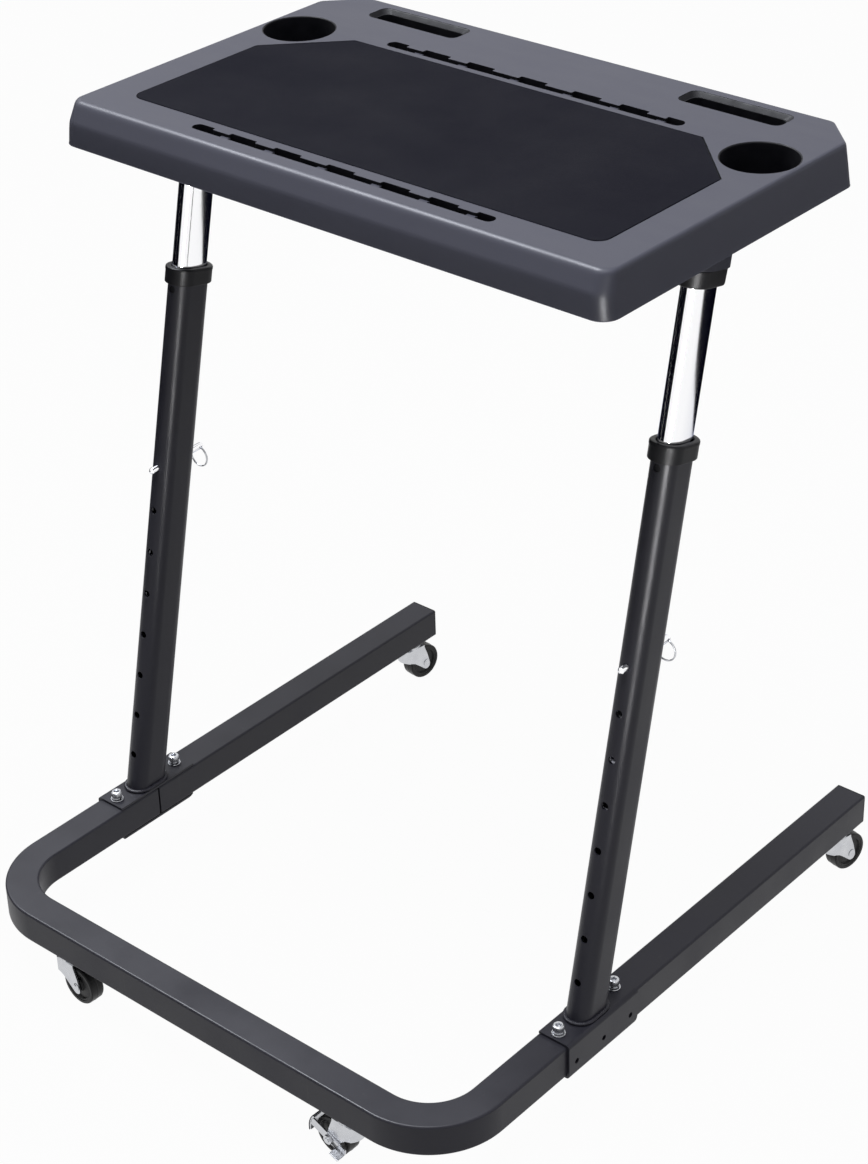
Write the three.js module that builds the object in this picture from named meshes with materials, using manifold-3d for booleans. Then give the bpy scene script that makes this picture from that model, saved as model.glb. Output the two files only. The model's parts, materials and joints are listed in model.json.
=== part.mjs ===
// Desk for riding on a bike trainer: a moulded tray on two leaning telescopic legs,
// which stand on a U-shaped tube base with four casters.
// Millimetres. X runs across the desk, Y from the front bar to the rear arms, Z up.

import * as THREE from 'three';
import { mergeVertices } from 'three/addons/utils/BufferGeometryUtils.js';
import Module from 'manifold-3d';

const wasm = await Module();
wasm.setup();

// Clearances and steps shared by all pieces
const fit = 0.3; // air between neighbouring pieces
const overrun = 1; // how far a cut runs past the face that it opens
const roundSides = 20;
const washerSides = 16;
const smallSides = 10;
const tubeArcSteps = 4; // half the steps of each round end of a leg tube
const cornerArcSteps = 1; // half the steps of each small corner
const quarterTurn = Math.PI / 2;

// Base frame
const baseWidth = 736;
const baseDepth = 806;
const tubeSize = 40;
const tubeWall = 1.5;
const tubeCorner = 3;
const bendRadius = 80;
const bendSteps = 7;
const seamY = 273.5; // where the front tube ends and the rear arms begin
const seamGap = 1;
const capFlange = 2.5;
const capWall = 1.6;
const capInsert = 14;

// Casters
const casterHeight = 64;
const casterTrail = 19.5;
const frontCasterSpan = 442;
const rearCasterInset = 34;
const wheelRadius = 24.8;
const wheelWidth = 18.6;
const wheelRadiusShares = [0.29, 0.33, 0.69, 0.73, 0.9, 1];
const wheelWidthShares = [1, 0.76, 0.76, 1, 1, 0.7];
const axleRadius = 3;
const axleHeadRadius = 5;
const axleHeadHeight = 2;
const stemRadius = 5;
const stemLength = 22;
const raceRadius = 14;
const raceHeight = 3.7;
const cupRimRadius = 12.5;
const cupRadius = 15.5;
const cupHeight = 5.2;
const kingpinRadius = 4.5;
const kingpinHeadRadius = 7;
const kingpinHeadHeight = 2.2;
const forkWeb = 2.5;
const forkPlate = 2;
const forkSideGap = 1.2;
const forkEyeRadius = 6.5;
const forkBack = 12;
const forkFront = 18;
const forkEyeStart = THREE.MathUtils.degToRad(222);
const forkEyeEnd = THREE.MathUtils.degToRad(360);

// Foot brackets, their bolts and washers
const bracketLength = 124;
const bracketPlate = 3;
const bracketBend = 5;
const bracketCorner = 12;
const bracketInset = 0.8; // from the inner face of the tube to the plate's edge
const sideHolePitch = 48.5;
const sideHoleRise = 15;
const sideHoleRadius = 3.3;
const boltSpacing = 99;
const boltLead = 2; // the bolts sit this far ahead of the bracket's middle
const boltRadius = 4;
const boltHeadRadius = 6.5;
const boltHeadHeight = 8;
const boltSocketRadius = 3.5;
const boltSocketDepth = 4.2;
const boltEndOverhang = 1.5;
const weldNutRadius = 7.5;
const weldNutHeight = 6.5;
const flatWasherRadius = 8;
const flatWasherThickness = 1.6;
const springWasherRadius = 7;
const springWasherThickness = 2.1;
const springWasherGap = 1.4;

// Leaning legs
const lean = THREE.MathUtils.degToRad(12.42);
const legFootLead = 3.5; // the leg's line meets the tube top this far ahead of the seam
const outerWidth = 32;
const outerDepth = 52;
const outerWall = 1.5;
const chromeShowing = 164.1; // of each inner tube, between its bush and its collar
const weldSpread = 4;
const weldHeight = 4.6;
const holeRadius = 4.5;
const holeSides = 8;
const firstHole = 48;
const holePitch = 54;
const outerHoles = 8;
const clampHoleDrop = 23.7;
const bushWall = 3.9;
const bushWeb = 3;
const bushHeight = 20;
const bushSlip = 0.6;
const innerWidth = 27;
const innerDepth = 47;
const innerWall = 1.5;
const innerHoles = 7;
const heightStepsEachWay = 3;
const innerEndMargin = 22;
const innerInsert = 45; // how far the inner tube goes into the tray's socket
const collarWall = 6.7;
const collarTaper = 0.5;
const collarHeight = 18.6;

// Locking pins and their rings
const pinRadius = 4;
const pinTipReach = 5.5; // past the front of the leg, as pinBackReach is past its back
const pinTipTaper = 2.4;
const pinTipShare = 0.5;
const pinBackReach = 21;
const pinEyeInset = 4.5;
const pinEyeRadius = 2;
const ringRadius = 13;
const ringWire = 1;
const ringSteps = 20;
const ringSides = 6;

// Tray
const trayOverhang = 7; // past each side of the base
const trayDepth = 460;
const trayHeight = 48;
const deskHeight = 1003;
const trayReach = 193.5; // from the rim's front edge back to the leg's line at rim level
const trayFrontCorner = 28;
const trayBackChamfer = 46;
const trayCornerSteps = 5;
const edgeInset = 12.5;
const edgeInsetShares = [0, 0.24, 0.56, 0.72, 1];
const edgeDepthShares = [1, 0.458, 0.167, 0.052, 0];
const deckThickness = 5;
const skirtWall = 3;
const wellWall = 3;
const ribWall = 2.2;
const ribDepth = 18;
const ribAcrossShares = [0.28, 0.55];
const ribAlongShares = [-0.3, -0.1, 0.1, 0.3];

// Sockets under the tray and their screws
const socketWall = 8.7;
const socketDrop = 14;
const socketGap = 0.6;
const screwRise = 23;
const screwOffset = 9;
const screwRadius = 2.5;
const screwHeadRadius = 4.5;
const screwHeadHeight = 3;
const screwEndOverhang = 2;

// Openings in the tray's deck
const drinkWellRadius = 41.5;
const drinkWellDepth = 42;
const drinkWellInset = 54.4; // from the side of the tray
const drinkWellY = 327;
const drinkWellSides = 28;
const gripInset = 86; // from the side of the tray
const gripLength = 134;
const gripFrontY = 406;
const gripBackY = 442;
const gripCorner = 10;
const gripLedge = 6;
const gripLedgeDepth = 5;
const gripDepth = 32;
const slotInset = 169; // from the side of the tray
const slotDepth = 12;
const slotNeck = 9.8;
const slotFronts = { front: 33.7, back: 345 };
const slotWidths = { front: 14.3, back: 16 };
const notchWidth = 37;
const notchPlaceShares = [-0.67, -0.36, 0, 0.36, 0.67];
const slotEndPocket = 25;
const bridgeLength = 11;
const bridgeSink = 3.5;

// Mat in its recess
const matFrontY = 60;
const matBackY = 336;
const matInset = 53.5; // from the side of the tray
const matChamfer = 80;
const matCorner = 16;
const matSink = 2;
const matThickness = 2.3;
const matGap = 0.8;

// Brake on one front caster
const leverPlate = 2;
const leverArmWidth = 11;
const leverEyeRadius = 7.5;
const leverArmAngle = THREE.MathUtils.degToRad(22);
const leverPadAngle = THREE.MathUtils.degToRad(16);
const leverPadSweep = THREE.MathUtils.degToRad(46);
const leverPadClearance = 3;
const leverPadWidth = 20;
const leverTabReach = 18; // from the axle forward to the middle of the foot tab
const leverTabLength = 13;
const leverTabWidth = 10;
const brakeNutRadius = 5.4;
const brakeNutHeight = 3.2;
const brakeAxleOverhang = 1.2;

// Places worked out from the sizes above
const tubeLine = (baseWidth - tubeSize) / 2;
const trayWidth = baseWidth + 2 * trayOverhang;
const drinkWellX = trayWidth / 2 - drinkWellInset;
const gripOuterX = trayWidth / 2 - gripInset;
const gripInnerX = gripOuterX - gripLength;
const slotHalfLength = trayWidth / 2 - slotInset;
const matHalfWidth = trayWidth / 2 - matInset;
const tubeBottom = casterHeight;
const tubeTop = tubeBottom + tubeSize;
const bracketTop = tubeTop + fit + bracketPlate;
const bracketBottom = tubeBottom - fit - bracketPlate;
const boltYs = { front: seamY - boltLead - boltSpacing / 2, rear: seamY - boltLead + boltSpacing / 2 };
const legFootY = seamY - legFootLead;
const rimZ = deskHeight - trayHeight;
const legYAtRim = legFootY + (rimZ - tubeTop) * Math.tan(lean);
const trayFront = legYAtRim - trayReach;
const trayBack = trayFront + trayDepth;
const pinStation = firstHole + (outerHoles - 1) * holePitch;
const innerStart = pinStation - heightStepsEachWay * holePitch - innerEndMargin;
const socketStart = (rimZ - socketDrop - tubeTop) / Math.cos(lean);
const collarTop = socketStart - socketGap;
const innerEnd = collarTop + innerInsert;
const screwStation = collarTop + screwRise;
const pinFront = outerDepth / 2 / Math.cos(lean) + pinTipReach;
const pinBack = outerDepth / 2 / Math.cos(lean) + pinBackReach;
const pinEye = pinBack - pinEyeInset;
const bushTop = collarTop - collarHeight - chromeShowing;
const outerLength = bushTop - bushWeb - fit;
const rearCasterY = baseDepth - rearCasterInset;
const webTop = casterHeight - fit - raceHeight - fit - cupHeight;
const webBottom = webTop - forkWeb;
const forkInner = wheelWidth / 2 + forkSideGap;
const forkOuter = forkInner + forkPlate;

const finishes = {
  paintedSteel: { color: 0x3a383c, roughness: 0.42, metalness: 0.25 },
  chrome: { color: 0xdcdee2, roughness: 0.08, metalness: 1 },
  zinc: { color: 0xc4c8cc, roughness: 0.28, metalness: 0.95 },
  trayPlastic: { color: 0x5c5c66, roughness: 0.5, metalness: 0 },
  bushPlastic: { color: 0x1f1f24, roughness: 0.45, metalness: 0 },
  matRubber: { color: 0x2d2d37, roughness: 0.85, metalness: 0 },
  wheelPlastic: { color: 0x17171a, roughness: 0.5, metalness: 0 },
};

// Solids and meshes

function solidOf(geometry) {
  const bare = geometry.clone();
  bare.deleteAttribute('normal');
  bare.deleteAttribute('uv');
  const merged = mergeVertices(bare);
  return new wasm.Manifold(new wasm.Mesh({
    numProp: 3,
    vertProperties: new Float32Array(merged.attributes.position.array),
    triVerts: new Uint32Array(merged.index.array),
  }));
}

function geometryOf(solid) {
  const { vertProperties, triVerts, numProp } = solid.getMesh();
  const geometry = new THREE.BufferGeometry();
  geometry.setAttribute('position', new THREE.BufferAttribute(vertProperties, numProp));
  geometry.setIndex(new THREE.BufferAttribute(triVerts, 1));
  const faceted = geometry.toNonIndexed();
  faceted.computeVertexNormals();
  return faceted;
}

function piece(name, solid, finish) {
  const mesh = new THREE.Mesh(geometryOf(solid), new THREE.MeshStandardMaterial(finishes[finish]));
  mesh.name = name;
  return mesh;
}

function joined(solids) {
  return solids.reduce((whole, part) => whole.add(part));
}

function cutBy(solid, cutters) {
  return cutters.reduce((rest, cutter) => rest.subtract(cutter), solid);
}

function at(x, y, z) {
  return new THREE.Vector3(x, y, z);
}

// Block between two opposite corners
function block(start, end) {
  const size = end.clone().sub(start);
  const middle = start.clone().add(end).divideScalar(2);
  const box = new THREE.BoxGeometry(Math.abs(size.x), Math.abs(size.y), Math.abs(size.z));
  return solidOf(box.translate(middle.x, middle.y, middle.z));
}

// Round rod between two points, which can taper to another radius
function rod(start, end, radius, sides = roundSides, endRadius = radius) {
  const along = end.clone().sub(start);
  const middle = start.clone().add(end).divideScalar(2);
  const cylinder = new THREE.CylinderGeometry(endRadius, radius, along.length(), sides);
  cylinder.applyQuaternion(new THREE.Quaternion().setFromUnitVectors(at(0, 1, 0), along.normalize()));
  return solidOf(cylinder.translate(middle.x, middle.y, middle.z));
}

function prism(shape, start, end, arcSteps) {
  const settings = { depth: end - start, bevelEnabled: false, curveSegments: arcSteps };
  return new THREE.ExtrudeGeometry(shape, settings).translate(0, 0, start);
}

// Outline with round ends along Y
function obround(width, depth) {
  const straight = (depth - width) / 2;
  const shape = new THREE.Shape();
  shape.absarc(0, straight, width / 2, 0, Math.PI);
  shape.absarc(0, -straight, width / 2, Math.PI, 2 * Math.PI);
  return shape;
}

function roundedRectangle(width, depth, radius) {
  const x = width / 2 - radius;
  const y = depth / 2 - radius;
  const shape = new THREE.Shape();
  [[x, y], [-x, y], [-x, -y], [x, -y]].forEach(([cornerX, cornerY], corner) => {
    shape.absarc(cornerX, cornerY, radius, corner * quarterTurn, (corner + 1) * quarterTurn);
  });
  return shape;
}

// Closed surface through rings of points, each convex and listed anticlockwise seen from its end
function loft(rings) {
  const count = rings[0].length;
  const top = (rings.length - 1) * count;
  const index = [];
  for (let ring = 0; ring < top; ring += count) {
    for (let i = 0; i < count; i += 1) {
      const next = (i + 1) % count;
      index.push(ring + i, ring + next, ring + next + count);
      index.push(ring + i, ring + next + count, ring + i + count);
    }
  }
  for (let i = 1; i + 1 < count; i += 1) {
    index.push(0, i + 1, i);
    index.push(top, top + i, top + i + 1);
  }
  const geometry = new THREE.BufferGeometry().setFromPoints(rings.flat());
  geometry.setIndex(index);
  return geometry;
}

function obroundRing(width, depth, z, shiftY = 0) {
  const points = obround(width, depth).getPoints(tubeArcSteps);
  const ring = points.map((point) => at(point.x, point.y + shiftY, z));
  return ring.filter((point, i) => i === 0 || point.distanceTo(ring[0]) > fit);
}

// Base frame

class StationCurve extends THREE.Curve {
  constructor(stations) {
    super();
    this.stations = stations;
  }

  station(share) {
    return this.stations[Math.round(share * (this.stations.length - 1))];
  }

  getPoint(share, target = new THREE.Vector3()) {
    return target.copy(this.station(share).point);
  }

  getPointAt(share, target = new THREE.Vector3()) {
    return target.copy(this.station(share).point);
  }

  getTangentAt(share, target = new THREE.Vector3()) {
    return target.copy(this.station(share).direction);
  }

  getSpacedPoints() {
    return this.stations.map((station) => station.point.clone());
  }
}

function tubeSection() {
  const section = roundedRectangle(tubeSize, tubeSize, tubeCorner);
  const bore = tubeSize - 2 * tubeWall;
  section.holes.push(roundedRectangle(bore, bore, tubeCorner - tubeWall));
  return section;
}

function bendStations(side, firstAngle) {
  const centre = at(side * (tubeLine - bendRadius), tubeSize / 2 + bendRadius, (tubeBottom + tubeTop) / 2);
  return Array.from({ length: bendSteps + 1 }, (_, step) => {
    const angle = firstAngle + (step / bendSteps) * quarterTurn;
    const spoke = at(Math.cos(angle), Math.sin(angle), 0);
    const direction = at(-Math.sin(angle), Math.cos(angle), 0);
    return { point: spoke.multiplyScalar(bendRadius).add(centre), direction };
  });
}

function stemHole(x, y) {
  const top = tubeBottom + tubeWall + overrun;
  return rod(at(x, y, tubeBottom - overrun), at(x, y, top), stemRadius + fit, smallSides);
}

function boltHole(x, y) {
  const low = bracketBottom - weldNutHeight - overrun;
  return rod(at(x, y, low), at(x, y, bracketTop + overrun), boltRadius + fit, smallSides);
}

function makeFrontTube() {
  const middleZ = (tubeBottom + tubeTop) / 2;
  const endY = seamY - seamGap / 2;
  const start = { point: at(-tubeLine, endY, middleZ), direction: at(0, -1, 0) };
  const end = { point: at(tubeLine, endY, middleZ), direction: at(0, 1, 0) };
  const bends = [...bendStations(-1, Math.PI), ...bendStations(1, Math.PI + quarterTurn)];
  const path = new StationCurve([start, ...bends, end]);
  const settings = {
    extrudePath: path,
    steps: path.stations.length - 1,
    bevelEnabled: false,
    curveSegments: cornerArcSteps,
  };
  const tube = solidOf(new THREE.ExtrudeGeometry(tubeSection(), settings));
  const holes = [-1, 1].flatMap((side) => [
    boltHole(side * tubeLine, boltYs.front),
    stemHole(side * frontCasterSpan / 2, tubeSize / 2),
  ]);
  return piece('front_tube', cutBy(tube, holes), 'paintedSteel');
}

// Section drawn across X and Z, run along Y between two places
function alongY(shape, startY, endY, arcSteps) {
  return prism(shape, 0, endY - startY, arcSteps).rotateX(quarterTurn).translate(0, endY, 0);
}

function makeRearArm(sideName, side) {
  const x = side * tubeLine;
  const start = seamY + seamGap / 2;
  const end = baseDepth - capFlange - fit;
  const tube = alongY(tubeSection(), start, end, cornerArcSteps);
  tube.translate(x, 0, (tubeBottom + tubeTop) / 2);
  const holes = [boltHole(x, boltYs.rear), stemHole(x, rearCasterY)];
  return piece(`rear_arm_${sideName}`, cutBy(solidOf(tube), holes), 'paintedSteel');
}

function makeArmCap(sideName, side) {
  const flangeStart = baseDepth - capFlange;
  const plugSize = tubeSize - 2 * (tubeWall + fit);
  const hollowSize = plugSize - 2 * capWall;
  const plugCorner = tubeCorner - tubeWall;
  const flangeShape = roundedRectangle(tubeSize, tubeSize, tubeCorner);
  const flange = alongY(flangeShape, flangeStart, baseDepth, cornerArcSteps);
  const plugShape = roundedRectangle(plugSize, plugSize, plugCorner);
  const plug = alongY(plugShape, flangeStart - capInsert, flangeStart + overrun, cornerArcSteps);
  const hollowShape = roundedRectangle(hollowSize, hollowSize, plugCorner);
  const hollow = alongY(hollowShape, flangeStart - capInsert - overrun, flangeStart, cornerArcSteps);
  const body = solidOf(flange).add(solidOf(plug)).subtract(solidOf(hollow));
  const cap = piece(`arm_cap_${sideName}`, body, 'bushPlastic');
  cap.position.set(side * tubeLine, 0, (tubeBottom + tubeTop) / 2);
  return cap;
}

// Foot brackets

function bracketSection(side) {
  const outer = tubeSize / 2 + fit + bracketPlate;
  const inner = -tubeSize / 2 + bracketInset;
  const bend = outer - bracketBend;
  const shape = new THREE.Shape();
  const arcTo = (z, radius, firstAngle, lastAngle) => {
    const steps = 2 * cornerArcSteps;
    for (let step = 0; step <= steps; step += 1) {
      const angle = firstAngle + (step / steps) * (lastAngle - firstAngle);
      shape.lineTo(side * (bend + radius * Math.cos(angle)), z + radius * Math.sin(angle));
    }
  };
  const innerBend = bracketBend - bracketPlate;
  shape.moveTo(side * inner, bracketBottom);
  arcTo(bracketBottom + bracketBend, bracketBend, -quarterTurn, 0);
  arcTo(bracketTop - bracketBend, bracketBend, 0, quarterTurn);
  shape.lineTo(side * inner, bracketTop);
  shape.lineTo(side * inner, bracketTop - bracketPlate);
  arcTo(bracketTop - bracketBend, innerBend, quarterTurn, 0);
  arcTo(bracketBottom + bracketBend, innerBend, 0, -quarterTurn);
  shape.lineTo(side * inner, bracketBottom + bracketPlate);
  return shape;
}

// Corner block that rounds off the lower rear edge of a bracket
function bracketCornerCut(x, rearY) {
  const reach = tubeSize;
  const farReach = reach + overrun;
  const centreY = rearY - bracketCorner;
  const centreZ = bracketBottom + bracketCorner;
  const low = at(x - reach, centreY, bracketBottom - overrun);
  const corner = block(low, at(x + reach, rearY + overrun, centreZ));
  const keep = rod(at(x - farReach, centreY, centreZ), at(x + farReach, centreY, centreZ), bracketCorner);
  return corner.subtract(keep);
}

function makeFootBracket(sideName, side) {
  const x = side * tubeLine;
  const frontY = seamY - bracketLength / 2;
  const rearY = seamY + bracketLength / 2;
  const channel = alongY(bracketSection(side), frontY, rearY, cornerArcSteps).translate(x, 0, 0);
  const nuts = Object.values(boltYs).map((y) => {
    const seat = at(x, y, bracketBottom + fit);
    return rod(at(x, y, bracketBottom - weldNutHeight), seat, weldNutRadius, 6);
  });
  const sideX = x + side * (tubeSize / 2);
  const sideHoles = [-1, 0, 1].map((place) => {
    const y = seamY + place * sideHolePitch;
    const z = tubeBottom + sideHoleRise;
    const far = sideX + side * (fit + bracketPlate + overrun);
    return rod(at(sideX - side * overrun, y, z), at(far, y, z), sideHoleRadius, smallSides);
  });
  const boltHoles = Object.values(boltYs).map((y) => boltHole(x, y));
  const plate = solidOf(channel).subtract(bracketCornerCut(x, rearY));
  const body = joined([plate, ...nuts]);
  return piece(`foot_bracket_${sideName}`, cutBy(body, [...sideHoles, ...boltHoles]), 'paintedSteel');
}

function washerRing(radius, low, high) {
  const disc = rod(at(0, 0, low), at(0, 0, high), radius, washerSides);
  return disc.subtract(rod(at(0, 0, low - overrun), at(0, 0, high + overrun), boltRadius + fit, smallSides));
}

function makeFootFasteners(sideName, side, place) {
  const flatLow = bracketTop + fit;
  const springLow = flatLow + flatWasherThickness + fit;
  const headLow = springLow + springWasherThickness + fit;
  const headHigh = headLow + boltHeadHeight;
  const shankEnd = bracketBottom - weldNutHeight - boltEndOverhang;
  const flatWasher = washerRing(flatWasherRadius, flatLow, flatLow + flatWasherThickness);
  const springRing = washerRing(springWasherRadius, springLow, springLow + springWasherThickness);
  const split = block(
    at(0, -springWasherGap / 2, springLow - overrun),
    at(springWasherRadius + overrun, springWasherGap / 2, headLow),
  );
  const head = rod(at(0, 0, headLow), at(0, 0, headHigh), boltHeadRadius);
  const shank = rod(at(0, 0, shankEnd), at(0, 0, headLow + overrun), boltRadius, smallSides);
  const socketLow = at(0, 0, headHigh - boltSocketDepth);
  const socket = rod(socketLow, at(0, 0, headHigh + overrun), boltSocketRadius, 6);
  const tag = `${sideName}_${place}`;
  const group = new THREE.Group();
  group.add(piece(`foot_bolt_${tag}`, head.add(shank).subtract(socket), 'zinc'));
  group.add(piece(`foot_washer_${tag}`, flatWasher, 'zinc'));
  group.add(piece(`spring_washer_${tag}`, springRing.subtract(split), 'zinc'));
  group.position.set(side * tubeLine, boltYs[place], 0);
  return group;
}

// Legs, drawn upright from their foot and leant back as a group

function tubeSolid(width, depth, wall, start, end) {
  const shape = obround(width, depth);
  shape.holes.push(obround(width - 2 * wall, depth - 2 * wall));
  return solidOf(prism(shape, start, end, tubeArcSteps));
}

// Point of a leg's own frame, on the level line that leaves the leg's front face at a station
function levelPoint(x, y, station) {
  const middle = station + (outerDepth / 2) * Math.tan(lean);
  return at(x, y * Math.cos(lean), middle + y * Math.sin(lean));
}

// Level hole right through a leg
function throughHole(station) {
  const reach = outerDepth;
  return rod(levelPoint(0, -reach, station), levelPoint(0, reach, station), holeRadius, holeSides);
}

// Everything below a level plane that lies this far above the leg's foot point
function belowLevel(height) {
  const reach = outerDepth;
  const box = new THREE.BoxGeometry(2 * reach, 2 * reach, reach);
  return solidOf(box.translate(0, 0, height - reach / 2).rotateX(lean));
}

function makeUpright(sideName) {
  const footRise = bracketTop + fit - tubeTop;
  const tube = solidOf(prism(obround(outerWidth, outerDepth), -outerDepth / 2, outerLength, tubeArcSteps));
  const bore = solidOf(prism(
    obround(outerWidth - 2 * outerWall, outerDepth - 2 * outerWall),
    -outerDepth,
    outerLength + overrun,
    tubeArcSteps,
  ));
  const weldWidth = outerWidth + 2 * weldSpread;
  const weldDepth = outerDepth + 2 * weldSpread;
  const weldTop = footRise + weldHeight;
  const weld = loft([
    obroundRing(weldWidth, weldDepth, footRise, footRise * Math.tan(lean)),
    obroundRing(outerWidth, outerDepth, weldTop, weldTop * Math.tan(lean)),
  ]).rotateX(lean);
  const holes = Array.from({ length: outerHoles }, (_, i) => throughHole(firstHole + i * holePitch));
  const clampStation = outerLength - clampHoleDrop;
  const clampHole = rod(at(0, -outerDepth, clampStation), at(0, 0, clampStation), holeRadius, holeSides);
  const body = tube.add(solidOf(weld)).subtract(belowLevel(footRise));
  return piece(`upright_tube_${sideName}`, cutBy(body, [bore, ...holes, clampHole]), 'paintedSteel');
}

function makeBush(sideName) {
  const start = bushTop - bushHeight;
  const bodyWidth = outerWidth + 2 * (fit + bushWall);
  const bodyDepth = outerDepth + 2 * (fit + bushWall);
  const body = solidOf(prism(obround(bodyWidth, bodyDepth), start, bushTop, tubeArcSteps));
  const pocketShape = obround(outerWidth + 2 * fit, outerDepth + 2 * fit);
  const pocket = solidOf(prism(pocketShape, start - overrun, bushTop - bushWeb, tubeArcSteps));
  const mouthShape = obround(innerWidth + 2 * bushSlip, innerDepth + 2 * bushSlip);
  const mouth = solidOf(prism(mouthShape, start, bushTop + overrun, tubeArcSteps));
  return piece(`upright_bush_${sideName}`, cutBy(body, [pocket, mouth]), 'bushPlastic');
}

function screwPlaces(side) {
  const x = side * tubeLine;
  return { front: at(x, -screwOffset, screwStation), rear: at(x, screwOffset, screwStation) };
}

function makeInnerTube(sideName, side) {
  const tube = tubeSolid(innerWidth, innerDepth, innerWall, innerStart, innerEnd);
  const lowestHole = innerStart + innerEndMargin;
  const holes = Array.from({ length: innerHoles }, (_, i) => throughHole(lowestHole + i * holePitch));
  const screwHoles = Object.values(screwPlaces(side)).map(({ y, z }) => {
    const outside = at(-side * (innerWidth / 2 + overrun), y, z);
    return rod(outside, at(0, y, z), screwRadius + fit, smallSides);
  });
  return piece(`inner_tube_${sideName}`, cutBy(tube, [...holes, ...screwHoles]), 'chrome');
}

function makeCollar(sideName) {
  const width = innerWidth + 2 * (fit + collarWall);
  const depth = innerDepth + 2 * (fit + collarWall);
  const start = collarTop - collarHeight;
  const body = solidOf(loft([
    obroundRing(width - 2 * collarTaper, depth - 2 * collarTaper, start),
    obroundRing(width, depth, collarTop),
  ]));
  const boreShape = obround(innerWidth + 2 * fit, innerDepth + 2 * fit);
  const bore = solidOf(prism(boreShape, start - overrun, collarTop + overrun, tubeArcSteps));
  return piece(`tray_collar_${sideName}`, body.subtract(bore), 'bushPlastic');
}

function makeSocketScrew(sideName, side, place) {
  const { y, z } = screwPlaces(side)[place];
  const socketFace = innerWidth / 2 + fit + socketWall;
  const headSeat = -side * (socketFace + fit);
  const headTop = headSeat - side * screwHeadHeight;
  const tipX = -side * (innerWidth / 2 - innerWall - screwEndOverhang);
  const head = rod(at(headSeat, y, z), at(headTop, y, z), screwHeadRadius, smallSides);
  const shank = rod(at(headSeat - side * fit, y, z), at(tipX, y, z), screwRadius, smallSides);
  return piece(`socket_screw_${sideName}_${place}`, head.add(shank), 'zinc');
}

// Level pin through both tubes, with an eye near its back end
function makeLockPin(sideName) {
  const profile = [
    new THREE.Vector2(0, -pinFront),
    new THREE.Vector2(pinRadius * pinTipShare, -pinFront),
    new THREE.Vector2(pinRadius, pinTipTaper - pinFront),
    new THREE.Vector2(pinRadius, pinBack),
    new THREE.Vector2(0, pinBack),
  ];
  const shaft = new THREE.LatheGeometry(profile, roundSides).rotateX(lean);
  shaft.translate(0, 0, levelPoint(0, 0, pinStation).z);
  const reach = pinRadius + overrun;
  const eyeEnds = [-reach, reach].map((x) => levelPoint(x, pinEye, pinStation));
  const eye = rod(eyeEnds[0], eyeEnds[1], pinEyeRadius, smallSides);
  return piece(`lock_pin_${sideName}`, solidOf(shaft).subtract(eye), 'chrome');
}

// The ring hangs plumb from the pin's eye, facing front and back
function makePinRing(sideName) {
  const ring = new THREE.TorusGeometry(ringRadius, ringWire, ringSides, ringSteps).rotateX(quarterTurn);
  ring.translate(0, 0, -ringRadius).rotateX(lean);
  const mesh = piece(`pin_ring_${sideName}`, solidOf(ring), 'zinc');
  mesh.position.copy(levelPoint(0, pinEye, pinStation));
  return mesh;
}

function makeLeg(sideName, side) {
  const leg = new THREE.Group();
  leg.position.set(side * tubeLine, legFootY, tubeTop);
  leg.rotation.x = -lean;
  leg.add(makeUpright(sideName), makeBush(sideName), makeInnerTube(sideName, side), makeCollar(sideName));
  leg.add(makeLockPin(sideName), makePinRing(sideName));
  leg.add(makeSocketScrew(sideName, side, 'front'), makeSocketScrew(sideName, side, 'rear'));
  return leg;
}

// Tray, with its outline at a given inset from the rim

function trayRing(inset, z) {
  const side = trayWidth / 2 - inset;
  const cornerX = trayWidth / 2 - trayFrontCorner;
  const cornerY = trayFront + trayFrontCorner;
  const chamferRun = trayBackChamfer + inset * (Math.SQRT2 - 1);
  const right = Array.from({ length: trayCornerSteps + 1 }, (_, step) => {
    const angle = -quarterTurn + (step / trayCornerSteps) * quarterTurn;
    const radius = trayFrontCorner - inset;
    return at(cornerX + radius * Math.cos(angle), cornerY + radius * Math.sin(angle), z);
  });
  right.push(at(side, trayBack - chamferRun, z));
  right.push(at(trayWidth / 2 - chamferRun, trayBack - inset, z));
  const left = right.map((point) => at(-point.x, point.y, z)).reverse();
  return [...right, ...left];
}

function edgeInsetAt(depth) {
  const share = depth / trayHeight;
  const step = edgeDepthShares.findIndex((level) => level <= share);
  const upper = edgeDepthShares[step];
  const lower = edgeDepthShares[step - 1];
  const blend = (share - upper) / (lower - upper);
  return edgeInset * THREE.MathUtils.lerp(edgeInsetShares[step], edgeInsetShares[step - 1], blend);
}

function trayHull() {
  const rings = edgeDepthShares.map((share, i) => {
    return trayRing(edgeInset * edgeInsetShares[i], deskHeight - share * trayHeight);
  });
  return solidOf(loft(rings));
}

// The tray's bulk drawn in by half its walls, so that what stands inside ends within them
function trayCore() {
  const levels = [trayHeight - skirtWall, ...edgeDepthShares.slice(1, -1).map((share) => share * trayHeight)];
  const depths = [...levels.filter((depth) => depth > deckThickness), deckThickness / 2];
  const rings = depths.map((depth) => trayRing(edgeInsetAt(depth) + skirtWall / 2, deskHeight - depth));
  return solidOf(loft(rings));
}

function trayHollow() {
  const levels = edgeDepthShares.slice(1).map((share) => share * trayHeight);
  const depths = [...levels.filter((depth) => depth > deckThickness), deckThickness];
  const rings = depths.map((depth) => trayRing(edgeInsetAt(depth) + skirtWall, deskHeight - depth));
  const mouth = trayRing(skirtWall, rimZ);
  const below = trayRing(skirtWall, rimZ - overrun);
  return solidOf(loft([below, mouth, ...rings]));
}

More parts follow.
